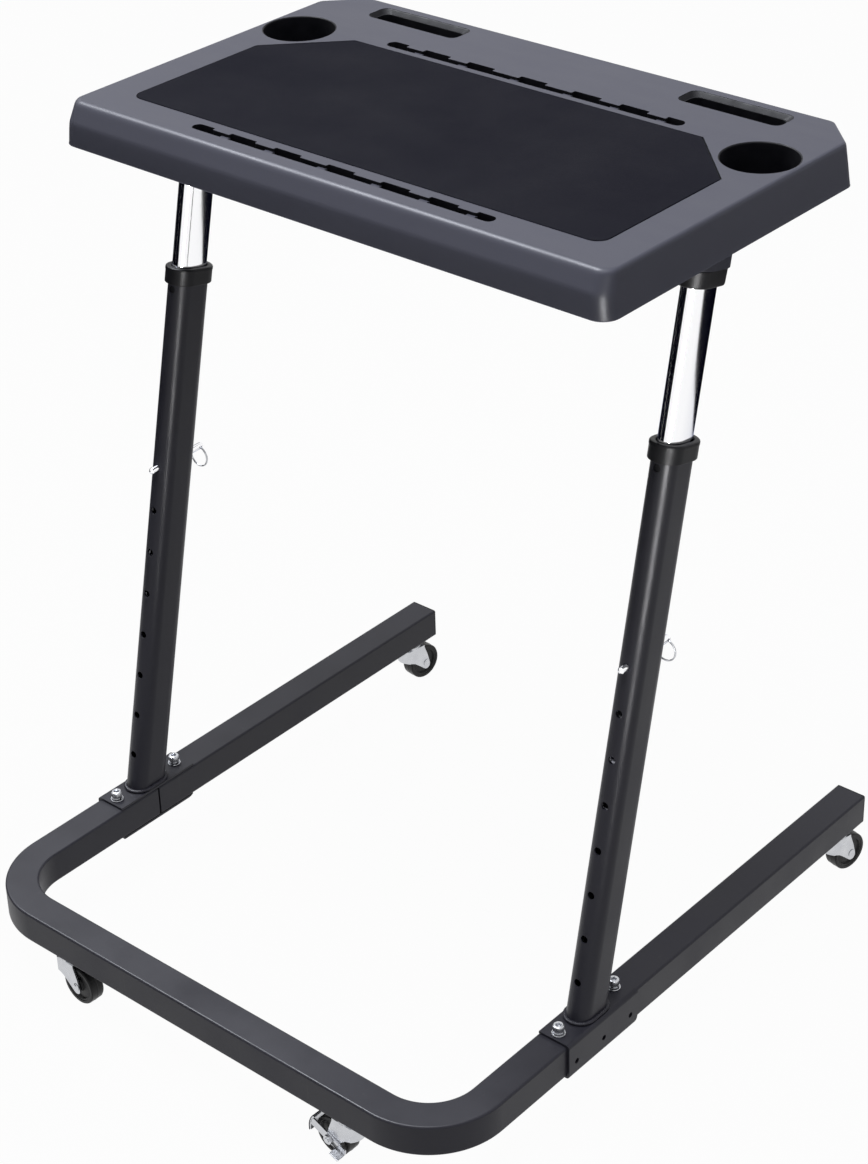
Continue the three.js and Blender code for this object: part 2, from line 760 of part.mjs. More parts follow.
function trayRibs() {
  const low = deskHeight - deckThickness - ribDepth;
  const high = deskHeight - deckThickness + overrun;
  const across = ribAcrossShares.map((share) => {
    const y = trayFront + share * trayDepth;
    return block(at(-trayWidth / 2, y - ribWall / 2, low), at(trayWidth / 2, y + ribWall / 2, high));
  });
  const along = ribAlongShares.map((share) => {
    const x = share * trayWidth;
    return block(at(x - ribWall / 2, trayFront, low), at(x + ribWall / 2, trayBack, high));
  });
  return joined([...across, ...along]);
}

function legMatrix(side) {
  const matrix = new THREE.Matrix4().makeRotationX(-lean);
  return matrix.setPosition(side * tubeLine, legFootY, tubeTop);
}

function traySocket(side) {
  const width = innerWidth + 2 * (fit + socketWall);
  const depth = innerDepth + 2 * (fit + socketWall);
  const top = innerEnd + trayHeight;
  return solidOf(prism(obround(width, depth), socketStart, top, tubeArcSteps).applyMatrix4(legMatrix(side)));
}

// Web that ties a socket to the skirt beside it
function socketWeb(side) {
  const width = trayWidth / 2 - tubeLine;
  const web = new THREE.BoxGeometry(width, innerDepth - innerWidth, 2 * trayHeight);
  return solidOf(web.translate(side * width / 2, 0, innerEnd).applyMatrix4(legMatrix(side)));
}

function traySocketBore(side) {
  const shape = obround(innerWidth + 2 * fit, innerDepth + 2 * fit);
  const bore = prism(shape, socketStart - overrun, innerEnd + fit, tubeArcSteps);
  const screwHoles = Object.values(screwPlaces(side)).map(({ y, z }) => {
    const socketFace = innerWidth / 2 + fit + socketWall;
    const start = at(-side * (socketFace + overrun), y, z).applyMatrix4(legMatrix(side));
    return rod(start, at(0, y, z).applyMatrix4(legMatrix(side)), screwRadius + fit, smallSides);
  });
  return joined([solidOf(bore.applyMatrix4(legMatrix(side))), ...screwHoles]);
}

function drinkWell(side, radius, low, high) {
  const x = side * drinkWellX;
  const y = trayFront + drinkWellY;
  return rod(at(x, y, low), at(x, y, high), radius, drinkWellSides);
}

// Grip pocket outline, drawn in by the ledge at its back and ends
function gripPrism(side, ledge, spread, low, high) {
  const width = gripOuterX - gripInnerX - 2 * ledge + 2 * spread;
  const depth = gripBackY - gripFrontY - ledge + 2 * spread;
  const middleX = side * (gripInnerX + gripOuterX) / 2;
  const middleY = trayFront + (gripFrontY + gripBackY - ledge) / 2;
  const shape = roundedRectangle(width, depth, gripCorner);
  return solidOf(prism(shape, low, high, cornerArcSteps + 1).translate(middleX, middleY, 0));
}

function slotCut(name) {
  const top = deskHeight + overrun;
  const low = deskHeight - slotDepth;
  const front = trayFront + slotFronts[name];
  const back = front + slotWidths[name];
  const neckEnd = slotHalfLength - slotEndPocket / 2;
  const neck = block(at(-neckEnd, front, low), at(neckEnd, front + slotNeck, top));
  const notches = notchPlaceShares.map((share) => {
    const x = share * slotHalfLength;
    return block(at(x - notchWidth / 2, front, low), at(x + notchWidth / 2, back, top));
  });
  const ends = [-1, 1].flatMap((side) => {
    const endX = side * (slotHalfLength - slotWidths[name] / 2);
    const middleY = (front + back) / 2;
    const straight = block(at(side * (slotHalfLength - slotEndPocket), front, low), at(endX, back, top));
    return [straight, rod(at(endX, middleY, low), at(endX, middleY, top), slotWidths[name] / 2)];
  });
  return joined([neck, ...notches, ...ends]);
}

// Low bridges across the rear half of a slot, beside each notch
function slotBridges(name) {
  const front = trayFront + slotFronts[name];
  const edges = notchPlaceShares.map((share) => share * slotHalfLength - notchWidth / 2);
  edges.push(slotHalfLength - slotEndPocket);
  return edges.map((x) => block(
    at(x - bridgeLength, front + slotNeck / 2, deskHeight - slotDepth - wellWall / 2),
    at(x, front + slotNeck + wellWall / 2, deskHeight - bridgeSink),
  ));
}

function slotTrough(name) {
  const front = trayFront + slotFronts[name];
  const reach = slotHalfLength + wellWall;
  const low = deskHeight - slotDepth - wellWall;
  const high = deskHeight - deckThickness + overrun;
  return block(at(-reach, front - wellWall, low), at(reach, front + slotWidths[name] + wellWall, high));
}

function matShape(spread) {
  const half = matHalfWidth + spread;
  const front = trayFront + matFrontY - spread;
  const back = trayFront + matBackY + spread;
  const run = matChamfer + spread * (Math.SQRT2 - 1) - spread;
  const shape = new THREE.Shape();
  shape.absarc(half - matCorner, front + matCorner, matCorner, -quarterTurn, 0);
  shape.lineTo(half, back - run);
  shape.lineTo(half - run, back);
  shape.lineTo(run - half, back);
  shape.lineTo(-half, back - run);
  shape.absarc(matCorner - half, front + matCorner, matCorner, Math.PI, Math.PI + quarterTurn);
  return shape;
}

function makeTray() {
  const top = deskHeight + overrun;
  const under = deskHeight - deckThickness + overrun;
  const hull = trayHull();
  const core = trayCore();
  const lowCorner = at(-trayWidth / 2, trayFront, rimZ - trayHeight);
  const lowRoom = block(lowCorner, at(trayWidth / 2, trayBack, rimZ + 2 * skirtWall));
  const sockets = joined([traySocket(-1), traySocket(1)]).intersect(core.add(lowRoom));
  const wellLow = deskHeight - drinkWellDepth;
  const gripLow = deskHeight - gripDepth;
  const walls = [-1, 1].flatMap((side) => [
    drinkWell(side, drinkWellRadius + wellWall, wellLow - wellWall, under),
    gripPrism(side, gripLedge, wellWall, gripLow - wellWall, under),
    gripPrism(side, 0, wellWall, deskHeight - gripLedgeDepth - wellWall, under),
  ]);
  const webs = [socketWeb(-1), socketWeb(1)];
  const troughs = [slotTrough('front'), slotTrough('back')];
  const inside = joined([trayRibs(), ...webs, ...walls, ...troughs]).intersect(core);
  const matRecess = solidOf(prism(matShape(matGap), deskHeight - matSink, top, cornerArcSteps + 1));
  const openings = [-1, 1].flatMap((side) => [
    drinkWell(side, drinkWellRadius, wellLow, top),
    gripPrism(side, gripLedge, 0, gripLow, top),
    gripPrism(side, 0, 0, deskHeight - gripLedgeDepth, top),
    traySocketBore(side),
  ]);
  const shell = joined([hull.subtract(trayHollow()), sockets, inside]);
  const cut = cutBy(shell, [...openings, slotCut('front'), slotCut('back'), matRecess]);
  const bridges = joined([...slotBridges('front'), ...slotBridges('back')]);
  return piece('tray', cut.add(bridges), 'trayPlastic');
}

function makeMat() {
  const low = deskHeight - matSink + fit;
  return piece('mat', solidOf(prism(matShape(0), low, low + matThickness, cornerArcSteps + 1)), 'matRubber');
}

// Casters, drawn trailing along +X under their stem

function makeStem(tag) {
  const top = casterHeight - fit;
  const low = top - raceHeight;
  const kingpinLow = webBottom - fit - kingpinHeadHeight;
  return piece(`caster_stem_${tag}`, joined([
    rod(at(0, 0, low + overrun), at(0, 0, casterHeight + stemLength), stemRadius, smallSides),
    rod(at(0, 0, low), at(0, 0, top), raceRadius),
    rod(at(0, 0, kingpinLow), at(0, 0, low + overrun), kingpinRadius, smallSides),
    rod(at(0, 0, kingpinLow), at(0, 0, webBottom - fit), kingpinHeadRadius, smallSides),
  ]), 'zinc');
}

function forkPlateShape() {
  const shape = new THREE.Shape();
  shape.moveTo(forkFront, webTop);
  shape.lineTo(-forkBack, webTop);
  shape.lineTo(-forkBack, webBottom);
  shape.absarc(casterTrail, wheelRadius, forkEyeRadius, forkEyeStart, forkEyeEnd);
  shape.lineTo(forkFront, webBottom);
  const hole = new THREE.Path();
  hole.absarc(casterTrail, wheelRadius, axleRadius + fit, 0, 2 * Math.PI);
  shape.holes.push(hole);
  return shape;
}

function makeFork(tag) {
  const cupTop = webTop + cupHeight;
  const plates = [forkInner, -forkOuter].map((start) => {
    return solidOf(alongY(forkPlateShape(), start, start + forkPlate, tubeArcSteps));
  });
  const web = block(at(-forkBack, -forkOuter, webBottom), at(forkFront, forkOuter, webTop));
  const disc = rod(at(0, 0, webBottom), at(0, 0, webTop), cupRadius);
  const cup = rod(at(0, 0, webTop - forkWeb / 2), at(0, 0, cupTop), cupRadius, roundSides, cupRimRadius);
  const boreRadius = kingpinRadius + fit;
  const bore = rod(at(0, 0, webBottom - overrun), at(0, 0, cupTop + overrun), boreRadius, smallSides);
  return piece(`caster_fork_${tag}`, joined([...plates, web, disc, cup]).subtract(bore), 'zinc');
}

function makeWheel(tag) {
  const half = wheelWidth / 2;
  const boreRadius = axleRadius + fit;
  const lowerFace = wheelRadiusShares.map((share, i) => {
    return new THREE.Vector2(share * wheelRadius, -wheelWidthShares[i] * half);
  });
  const upperFace = lowerFace.map((point) => new THREE.Vector2(point.x, -point.y)).reverse();
  const start = new THREE.Vector2(boreRadius, -half);
  const profile = [start, ...lowerFace, ...upperFace, new THREE.Vector2(boreRadius, half), start];
  const solid = solidOf(new THREE.LatheGeometry(profile, roundSides));
  const wheel = piece(`caster_wheel_${tag}`, solid, 'wheelPlastic');
  wheel.position.set(casterTrail, 0, wheelRadius);
  return wheel;
}

function makeAxle(tag, hasBrake) {
  const seat = forkOuter + fit;
  const brakeReach = leverPlate + fit + brakeNutHeight + brakeAxleOverhang;
  const start = -seat - axleHeadHeight;
  const end = hasBrake ? seat + brakeReach : seat + axleHeadHeight;
  const shaft = rod(at(0, start, 0), at(0, end, 0), axleRadius, smallSides);
  const headA = rod(at(0, start, 0), at(0, -seat, 0), axleHeadRadius, smallSides);
  const headB = rod(at(0, seat, 0), at(0, end, 0), axleHeadRadius, smallSides);
  const solid = hasBrake ? shaft.add(headA) : joined([shaft, headA, headB]);
  const axle = piece(`caster_axle_${tag}`, solid, 'zinc');
  axle.position.set(casterTrail, 0, wheelRadius);
  return axle;
}

function makeBrakeLever() {
  const padInner = wheelRadius + leverPadClearance;
  const padOuter = padInner + leverPlate;
  const seat = forkOuter + fit;
  const face = seat + leverPlate;
  const shape = new THREE.Shape();
  const firstAngle = leverPadAngle - leverPadSweep / 2;
  const lastAngle = leverPadAngle + leverPadSweep / 2;
  shape.absarc(0, 0, padOuter, firstAngle, lastAngle);
  shape.absarc(0, 0, padInner, lastAngle, firstAngle, true);
  const pad = solidOf(alongY(shape, face - leverPadWidth - leverPlate, face, tubeArcSteps));
  const eye = rod(at(0, seat, 0), at(0, face, 0), leverEyeRadius);
  const armEnd = padOuter - overrun;
  const armStart = -leverTabReach - leverTabLength / 2;
  const arm = new THREE.BoxGeometry(armEnd - armStart, leverPlate, leverArmWidth);
  arm.translate((armStart + armEnd) / 2, (seat + face) / 2, 0);
  const tab = new THREE.BoxGeometry(leverTabLength, leverTabWidth + leverPlate, leverPlate);
  tab.translate(-leverTabReach, seat + (leverTabWidth + leverPlate) / 2, (leverPlate - leverArmWidth) / 2);
  const blades = [arm, tab].map((blade) => solidOf(blade.rotateY(-leverArmAngle)));
  const hole = rod(at(0, seat - overrun, 0), at(0, face + overrun, 0), axleRadius + fit, smallSides);
  const lever = piece('brake_lever', joined([pad, eye, ...blades]).subtract(hole), 'zinc');
  lever.position.set(casterTrail, 0, wheelRadius);
  return lever;
}

function makeBrakeNut() {
  const low = forkOuter + fit + leverPlate + fit;
  const high = low + brakeNutHeight;
  const body = rod(at(0, low, 0), at(0, high, 0), brakeNutRadius, 6);
  const bore = rod(at(0, low - overrun, 0), at(0, high + overrun, 0), axleRadius + fit, smallSides);
  const nut = piece('brake_nut', body.subtract(bore), 'zinc');
  nut.position.set(casterTrail, 0, wheelRadius);
  return nut;
}

function makeCaster({ tag, x, y, trailDegrees, hasBrake }) {
  const caster = new THREE.Group();
  caster.position.set(x, y, 0);
  caster.rotation.z = THREE.MathUtils.degToRad(trailDegrees);
  caster.add(makeStem(tag), makeFork(tag), makeWheel(tag), makeAxle(tag, hasBrake));
  if (hasBrake) caster.add(makeBrakeLever(), makeBrakeNut());
  return caster;
}

const casters = [
  { tag: 'front_left', x: -frontCasterSpan / 2, y: tubeSize / 2, trailDegrees: -2, hasBrake: false },
  { tag: 'front_right', x: frontCasterSpan / 2, y: tubeSize / 2, trailDegrees: 178, hasBrake: true },
  { tag: 'rear_left', x: -tubeLine, y: rearCasterY, trailDegrees: 84, hasBrake: false },
  { tag: 'rear_right', x: tubeLine, y: rearCasterY, trailDegrees: 79, hasBrake: false },
];

// The whole desk, centred over the floor point in the middle of its bounding box

const desk = new THREE.Group();
desk.add(makeFrontTube(), makeTray(), makeMat());
for (const [sideName, side] of [['left', -1], ['right', 1]]) {
  desk.add(makeRearArm(sideName, side), makeArmCap(sideName, side), makeFootBracket(sideName, side));
  desk.add(makeFootFasteners(sideName, side, 'front'), makeFootFasteners(sideName, side, 'rear'));
  desk.add(makeLeg(sideName, side));
}
casters.forEach((caster) => desk.add(makeCaster(caster)));
desk.updateMatrixWorld(true);
const bounds = new THREE.Box3().setFromObject(desk, true);
desk.position.y = -(bounds.min.y + bounds.max.y) / 2;

export default desk;
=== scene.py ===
"""Looks of a bike trainer desk: fine surfaces and finishes over its working frame.

Metres. X runs across the desk, Y from the front bar to the open ends of the arms, Z up.
"""

import json
import math

import bmesh
import bpy
from mathutils import Matrix, Vector


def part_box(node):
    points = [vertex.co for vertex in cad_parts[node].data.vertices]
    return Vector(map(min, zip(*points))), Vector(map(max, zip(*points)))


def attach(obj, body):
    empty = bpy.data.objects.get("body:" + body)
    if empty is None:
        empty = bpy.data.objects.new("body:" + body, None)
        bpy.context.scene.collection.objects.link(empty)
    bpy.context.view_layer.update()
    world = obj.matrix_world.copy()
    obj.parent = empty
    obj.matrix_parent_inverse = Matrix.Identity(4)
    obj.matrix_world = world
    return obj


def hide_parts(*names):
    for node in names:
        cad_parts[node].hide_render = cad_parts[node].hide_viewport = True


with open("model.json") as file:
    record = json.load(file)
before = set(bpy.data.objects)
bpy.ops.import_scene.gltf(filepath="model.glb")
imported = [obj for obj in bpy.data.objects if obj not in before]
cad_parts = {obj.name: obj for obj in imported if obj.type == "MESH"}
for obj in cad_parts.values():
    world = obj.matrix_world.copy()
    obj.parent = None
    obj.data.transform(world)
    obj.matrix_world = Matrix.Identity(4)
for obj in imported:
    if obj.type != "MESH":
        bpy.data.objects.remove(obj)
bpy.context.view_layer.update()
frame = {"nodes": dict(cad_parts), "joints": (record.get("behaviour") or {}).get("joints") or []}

QUARTER = math.pi / 2
SIDES = {"left": -1, "right": 1}
ENDS = ("front", "rear")
AIR = 0.0003
PAST = 0.001

# Base frame
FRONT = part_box("front_tube")[0].y
TUBE_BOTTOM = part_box("front_tube")[0].z
TUBE_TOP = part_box("front_tube")[1].z
TUBE_MIDDLE = (TUBE_BOTTOM + TUBE_TOP) / 2
TUBE = TUBE_TOP - TUBE_BOTTOM
TUBE_CORNER = 0.0028
TUBE_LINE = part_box("front_tube")[1].x - TUBE / 2
BEND_RADIUS = 0.080
SEAM = 0.2735
SEAM_GAP = 0.0026
ARM_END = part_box("rear_arm_left")[1].y
CAP_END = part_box("arm_cap_left")[1].y
CAP_STEPS = [
    (0.0, -0.0025), (0.0, -0.0012), (0.0006, -0.0004), (0.0018, 0.0), (0.0068, 0.0), (0.0074, -0.0007),
    (0.0086, -0.0007), (0.0092, 0.0), (0.014, 0.0),
]

# Foot brackets and their fasteners
PLATE = 0.003
BRACKET_LENGTH = 0.124
BRACKET_BEND = 0.005
BRACKET_CORNER = 0.012
BRACKET_INSET = 0.0008
BRACKET_TOP = TUBE_TOP + AIR + PLATE
BRACKET_BOTTOM = TUBE_BOTTOM - AIR - PLATE
SIDE_HOLE_PITCH = 0.0485
SIDE_HOLE_RISE = 0.015
SIDE_HOLE_RADIUS = 0.0033
BOLT_RADIUS = 0.004
HEAD_RADIUS = 0.0065
HEAD_HEIGHT = 0.008
SOCKET_RADIUS = 0.0035
SOCKET_DEPTH = 0.0042
WASHER_RADIUS = 0.008
SPRING_RADIUS = 0.007
WELD_NUT_RADIUS = 0.0075
WELD_NUT_HEIGHT = 0.0065

# Legs, in a frame of their own that leans back from the foot
height_joint = next(joint for joint in frame["joints"] if joint["name"] == "desk_height")
LEAN = math.atan2(height_joint["axis"][1], height_joint["axis"][2])
FOOT_LEAD = 0.0035
OUTER_SIZE = (0.032, 0.052)
LEG_WALL = 0.0015
LEG_LIP = 0.0004
OUTER_START = -0.03
OUTER_END = 0.6707
INNER_SIZE = (0.027, 0.047)
OVAL_POWER = 2.4
INNER_START = 0.242
INNER_END = 0.9017
HOLE_RADIUS = 0.0045
HOLE_PITCH = 0.054
OUTER_HOLES = (0.048, 8)
INNER_HOLES = (0.264, 7)
CLAMP_DROP = 0.0237
BUSH_SPAN = (0.654, 0.674)
BUSH_SPREAD = 0.0042
LINER_LENGTH = 0.034
COLLAR_SPAN = (0.8381, 0.8567)
COLLAR_SPREAD = 0.007
BEAD_STEP = 0.0023
BEAD_SIZE = 0.0029

# Locking pins
PIN_RADIUS = 0.004
PIN_TIP = 0.002
PIN_TAPER = 0.0024
PIN_LEAD = 0.0055
PIN_EYE_INSET = 0.0045
PIN_EYE_RADIUS = 0.002
RING_RADIUS = 0.013
RING_WIRE = 0.00085

# Tray, with widths and depths behind its front
RIM = 0.955
DECK = 1.003
TRAY_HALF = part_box("tray")[1].x
TRAY_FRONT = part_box("tray")[0].y
TRAY_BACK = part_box("tray")[1].y + 0.0025
TRAY_DEPTH = TRAY_BACK - TRAY_FRONT
TRAY_HEIGHT = DECK - RIM
TRAY_CORNER = 0.020
TRAY_CHAMFER = 0.046
TRAY_CHAMFER_CORNER = 0.016
DECK_WALL = 0.005
SKIRT_WALL = 0.003
WALL = 0.003
RIB_WALL = 0.0022
RIB_DEPTH = 0.018
RIB_ACROSS_SHARES = (0.28, 0.55)
RIB_ALONG_SHARES = (-0.3, -0.1, 0.1, 0.3)
SOCKET_SPREAD = 0.009
SOCKET_START = 0.8573
SOCKET_WEB = (0.010, 0.048)
WELL_RADIUS = 0.0415
WELL_DEPTH = 0.042
WELL_TURN = 0.006
WELL_LIP = 0.0016
WELL_PLACE = (0.3206, 0.327)
GRIP_X = (0.155, 0.289)
GRIP_Y = (0.406, 0.442)
GRIP_CORNER = 0.010
GRIP_LEDGE = 0.006
GRIP_DEPTH = 0.032
GRIP_SLOPE = [(0.0048, 0.005), (0.0012, 0.0012), (0.0, 0.0004), (0.0, -0.001)]
SLOT_HALF = 0.206
SLOT_DEPTH = 0.012
SLOT_NECK = 0.0098
SLOT_CORNER = 0.0015
SLOTS = {"front": (0.0337, 0.0143), "back": (0.345, 0.016)}
NOTCH = 0.037
NOTCH_SHARES = (-0.67, -0.36, 0, 0.36, 0.67)
SLOT_END = 0.025
BRIDGE_LENGTH = 0.011
BRIDGE_SINK = 0.0035
MAT_Y = (0.060, 0.336)
MAT_HALF = 0.3215
MAT_CHAMFER = 0.080
MAT_CORNER = 0.016
MAT_GAP = 0.0008
MAT_SINK = 0.002
MAT_HEIGHT = 0.0023

# Insets and depths of the tray's front, with a shoulder and a crease, and of its other edges, with a draft
FRONT_EDGE = [
    (0.0, 0.048), (0.0004, 0.0475), (0.0006, 0.040), (0.0011, 0.030), (0.0016, 0.0245), (0.0023, 0.0213),
    (0.0034, 0.0188), (0.0053, 0.0152), (0.0073, 0.0112), (0.0092, 0.0074), (0.0105, 0.0049),
    (0.0120, 0.0029), (0.0139, 0.0014), (0.0162, 0.0004), (0.019, 0.0),
]
SIDE_EDGE = [
    (0.0, 0.048), (0.0003, 0.0475), (0.0012, 0.041), (0.0023, 0.0325), (0.0030, 0.027), (0.0035, 0.0232),
    (0.0040, 0.0198), (0.0045, 0.0160), (0.0051, 0.0119), (0.0056, 0.0082), (0.0061, 0.0048),
    (0.0066, 0.0026), (0.0076, 0.0010), (0.0090, 0.0002), (0.0105, 0.0),
]
EDGES = list(zip(FRONT_EDGE, SIDE_EDGE))

# Casters, in a frame of their own that trails along +X from under the stem
WHEEL_RADIUS = 0.0248
WHEEL_HALF = 0.0093
AXLE_RADIUS = 0.003
TRAIL = 0.0195
FORK_INNER = 0.0105
FORK_OUTER = 0.0125
FORK_LOW = 0.012
FORK_TOP = 0.0545
FORK_WEB = 0.0025
FORK_SHEET = 0.002
FORK_FRONT = 0.027
FORK_BACK_CENTRE = -0.0022
FORK_BACK_RADIUS = 0.0153
FORK_ARCH = [(-0.024, 0.0365), (-0.015, 0.0358), (-0.0085, 0.0345), (-0.002, 0.0315), (0.0045, 0.0262)]
FORK_EYE = 0.0062
FORK_EYE_DROP = 0.0036
CUP_TOP = 0.0597
BALL_COUNT = 14
BALL_RADIUS = 0.0013
BALL_LINE = 0.0094
STEM_RADIUS = 0.005
STEM_LENGTH = 0.022
RACE = (0.0600, 0.0637)
RACE_RADIUS = 0.014
LEVER_PLATE = 0.002
LEVER_WIDTH = 0.011
LEVER_ANGLE = math.radians(22)
PAD_ANGLE = math.radians(16)
PAD_SWEEP = math.radians(46)
PAD_RADIUS = 0.0278
PAD_WIDTH = 0.020
PAD_STEPS = 18
TAB_REACH = 0.018
TAB_LENGTH = 0.013
TAB_WIDTH = 0.010
BRAKE_REACH = 0.0067

# Camera
AZIMUTH = math.radians(41.13)
ELEVATION = math.radians(30.59)
ROLL = math.radians(-1.57)
EYE = Vector((1.7405, FRONT - 1.53605, 2.0529))
FRAME_HEIGHT = 1164
FOCAL_PIXELS = 2672.5
SHIFT = (-0.0109, -0.0305)


def place(x, y, z):
    """Point by its distance behind the front of the base."""
    return Vector((x, FRONT + y, z))


def shift(x, y, z):
    return Matrix.Translation(Vector((x, y, z)))


def middle(node):
    low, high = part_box(node)
    return (low + high) / 2


def levels(node):
    return (corner.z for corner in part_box(node))


def leg_frame(side):
    foot = place(side * TUBE_LINE, SEAM - FOOT_LEAD, TUBE_TOP)
    return Matrix.Translation(foot) @ Matrix.Rotation(-LEAN, 4, "X")


# Outlines, as lists of flat points


def arc(centre, radius, first, last, steps):
    x, y = centre
    angles = [first + (last - first) * step / steps for step in range(steps + 1)]
    return [Vector((x + radius * math.cos(angle), y + radius * math.sin(angle))) for angle in angles]


def rounded(corners, radii, steps=6):
    """Flat outline with an arc at each corner."""
    outline = []
    for i, corner in enumerate(corners):
        corner = Vector(corner)
        before = (Vector(corners[i - 1]) - corner).normalized()
        after = (Vector(corners[(i + 1) % len(corners)]) - corner).normalized()
        radius = radii[i] if hasattr(radii, "__len__") else radii
        if radius <= 0:
            outline.append(corner)
            continue
        half = before.angle(after) / 2
        centre = corner + (before + after).normalized() * radius / math.sin(half)
        start = corner + before * radius / math.tan(half) - centre
        end = corner + after * radius / math.tan(half) - centre
        sweep = start.angle_signed(end) if start.cross(end) else math.pi
        for step in range(steps + 1):
            outline.append(centre + Matrix.Rotation(-sweep * step / steps, 2) @ start)
    return outline


def box_outline(half_x, half_y, corner, steps=6):
    corners = [(half_x, half_y), (-half_x, half_y), (-half_x, -half_y), (half_x, -half_y)]
    return rounded(corners, corner, steps)


def obround(size, spread=0.0, steps=16):
    """Outline with round ends along Y, drawn out all round by a spread."""
    radius, straight = size[0] / 2 + spread, (size[1] - size[0]) / 2
    ends = (straight, 0, math.pi), (-straight, math.pi, 2 * math.pi)
    return [point for y, first, last in ends for point in arc((0, y), radius, first, last, steps)]


def oval(size, spread=0.0, steps=72):
    """Outline with slightly full sides, as long and as wide as the obround of the same size."""
    outline = []
    for step in range(steps):
        angle = 2 * math.pi * step / steps
        point = []
        for share, reach in zip((math.cos(angle), math.sin(angle)), size):
            point.append(math.copysign(abs(share) ** (2 / OVAL_POWER), share) * (reach / 2 + spread))
        outline.append(Vector(point))
    return outline


# Shapes, as a list of points and a list of faces


def moved(shape, matrix):
    return [matrix @ Vector(point) for point in shape[0]], shape[1]


def merged(*shapes):
    points, faces = [], []
    for shape_points, shape_faces in shapes:
        start = len(points)
        points.extend(shape_points)
        faces.extend([start + i for i in face] for face in shape_faces)
    return points, faces


def loft(rings, closed=False):
    """Skin through rings of points, with flat ends, or with its last ring joined to its first."""
    count = len(rings[0])
    points = [Vector(point) for ring in rings for point in ring]
    faces = []
    for k in range(len(rings) - (0 if closed else 1)):
        low, high = k * count, ((k + 1) % len(rings)) * count
        faces.extend([low + i, low + (i + 1) % count, high + (i + 1) % count, high + i] for i in range(count))
    if not closed:
        faces.append(list(reversed(range(count))))
        faces.append(list(range(len(points) - count, len(points))))
    return points, faces


def level_ring(outline, z):
    return [Vector((point.x, point.y, z)) for point in outline]


def prism(outline, low, high):
    return loft([level_ring(outline, low), level_ring(outline, high)])


def block(low, high):
    xs, ys = (high[0], low[0], low[0], high[0]), (high[1], high[1], low[1], low[1])
    return prism([Vector(point) for point in zip(xs, ys)], low[2], high[2])


def lathe(profile, steps=48, closed=False):
    """Skin turned round Z from radii and heights."""
    angles = [2 * math.pi * i / steps for i in range(steps)]
    return loft([[Vector((r * math.cos(a), r * math.sin(a), z)) for a in angles] for r, z in profile], closed)


def rod(start, end, radius, steps=32):
    along = Vector(end) - Vector(start)
    turn = along.to_track_quat("Z", "Y").to_matrix().to_4x4()
    upright = lathe([(radius, 0), (radius, along.length)], steps)
    return moved(upright, Matrix.Translation(Vector(start)) @ turn)


def across(shape):
    """A shape drawn in X and Y and raised in Z, turned so that it stands in X and Z and runs along Y."""
    return moved(shape, Matrix(((1, 0, 0, 0), (0, 0, -1, 0), (0, 1, 0, 0), (0, 0, 0, 1))))


def shell(outline, size, profile):
    """Closed skin round an upright outline, from spreads and heights."""
    return loft([level_ring(outline(size, spread), z) for spread, z in profile], closed=True)


# Objects


def linked(name, data):
    obj = bpy.data.objects.new(name, data)
    bpy.context.scene.collection.objects.link(obj)
    return obj


def raw(name, shape, material=None):
    mesh = bpy.data.meshes.new(name)
    mesh.from_pydata([tuple(point) for point in shape[0]], [], shape[1])
    solid = bmesh.new()
    solid.from_mesh(mesh)
    bmesh.ops.remove_doubles(solid, verts=solid.verts, dist=1e-7)
    bmesh.ops.recalc_face_normals(solid, faces=solid.faces)
    solid.to_mesh(mesh)
    solid.free()
    if material:
        mesh.materials.append(material)
    return linked(name, mesh)


def settle(obj):
    """Turns an object's modifiers into its mesh."""
    mesh = bpy.data.meshes.new_from_object(obj.evaluated_get(bpy.context.evaluated_depsgraph_get()))
    obj.modifiers.clear()
    obj.data = mesh
    return obj


def combine(obj, parts, operation, material=None):
    """Joins shapes or objects to an object, or cuts them from it, one after another."""
    tools = [part if isinstance(part, bpy.types.Object) else raw("tool", part, material) for part in parts]
    for tool in tools:
        modifier = obj.modifiers.new("part", "BOOLEAN")
        modifier.solver = "EXACT"
        modifier.operation = operation
        modifier.object = tool
        modifier.material_mode = "TRANSFER" if material else "INDEX"
    settle(obj)
    for tool in tools:
        bpy.data.objects.remove(tool)
    return obj


def soften(obj, width, steps=2, angle=40):
    modifier = obj.modifiers.new("edges", "BEVEL")
    modifier.width = width
    modifier.segments = steps
    modifier.limit_method = "ANGLE"
    modifier.angle_limit = math.radians(angle)
    modifier.harden_normals = False
    return settle(obj)


def finish(obj, material, body, *nodes, matrix=None, sharp=32, keep=False):
    """Gives a piece its place, shading and material, ties it to its body and hides the nodes it replaces.
    """
    if matrix is not None:
        obj.data.transform(matrix)
    if not keep:
        obj.data.materials.clear()
        obj.data.materials.append(material)
    obj.data.shade_smooth()
    obj.data.set_sharp_from_angle(angle=math.radians(sharp))
    obj.modifiers.new("even", "WEIGHTED_NORMAL").keep_sharp = True
    settle(obj)
    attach(obj, body)
    if nodes:
        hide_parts(*nodes)


class Nodes:
    """Makes the nodes of a tree with their settings and links."""

    def __init__(self, tree):
        self.tree = tree

    def node(self, kind, links=None, **settings):
        node = self.tree.nodes.new(kind)
        for key, value in settings.items():
            setattr(node, key, value)
        for key, value in (links or {}).items():
            if isinstance(value, bpy.types.Node):
                value = value.outputs[0]
            if isinstance(value, bpy.types.NodeSocket):
                self.tree.links.new(value, node.inputs[key])
            else:
                node.inputs[key].default_value = value
        return node


# Geometry Nodes


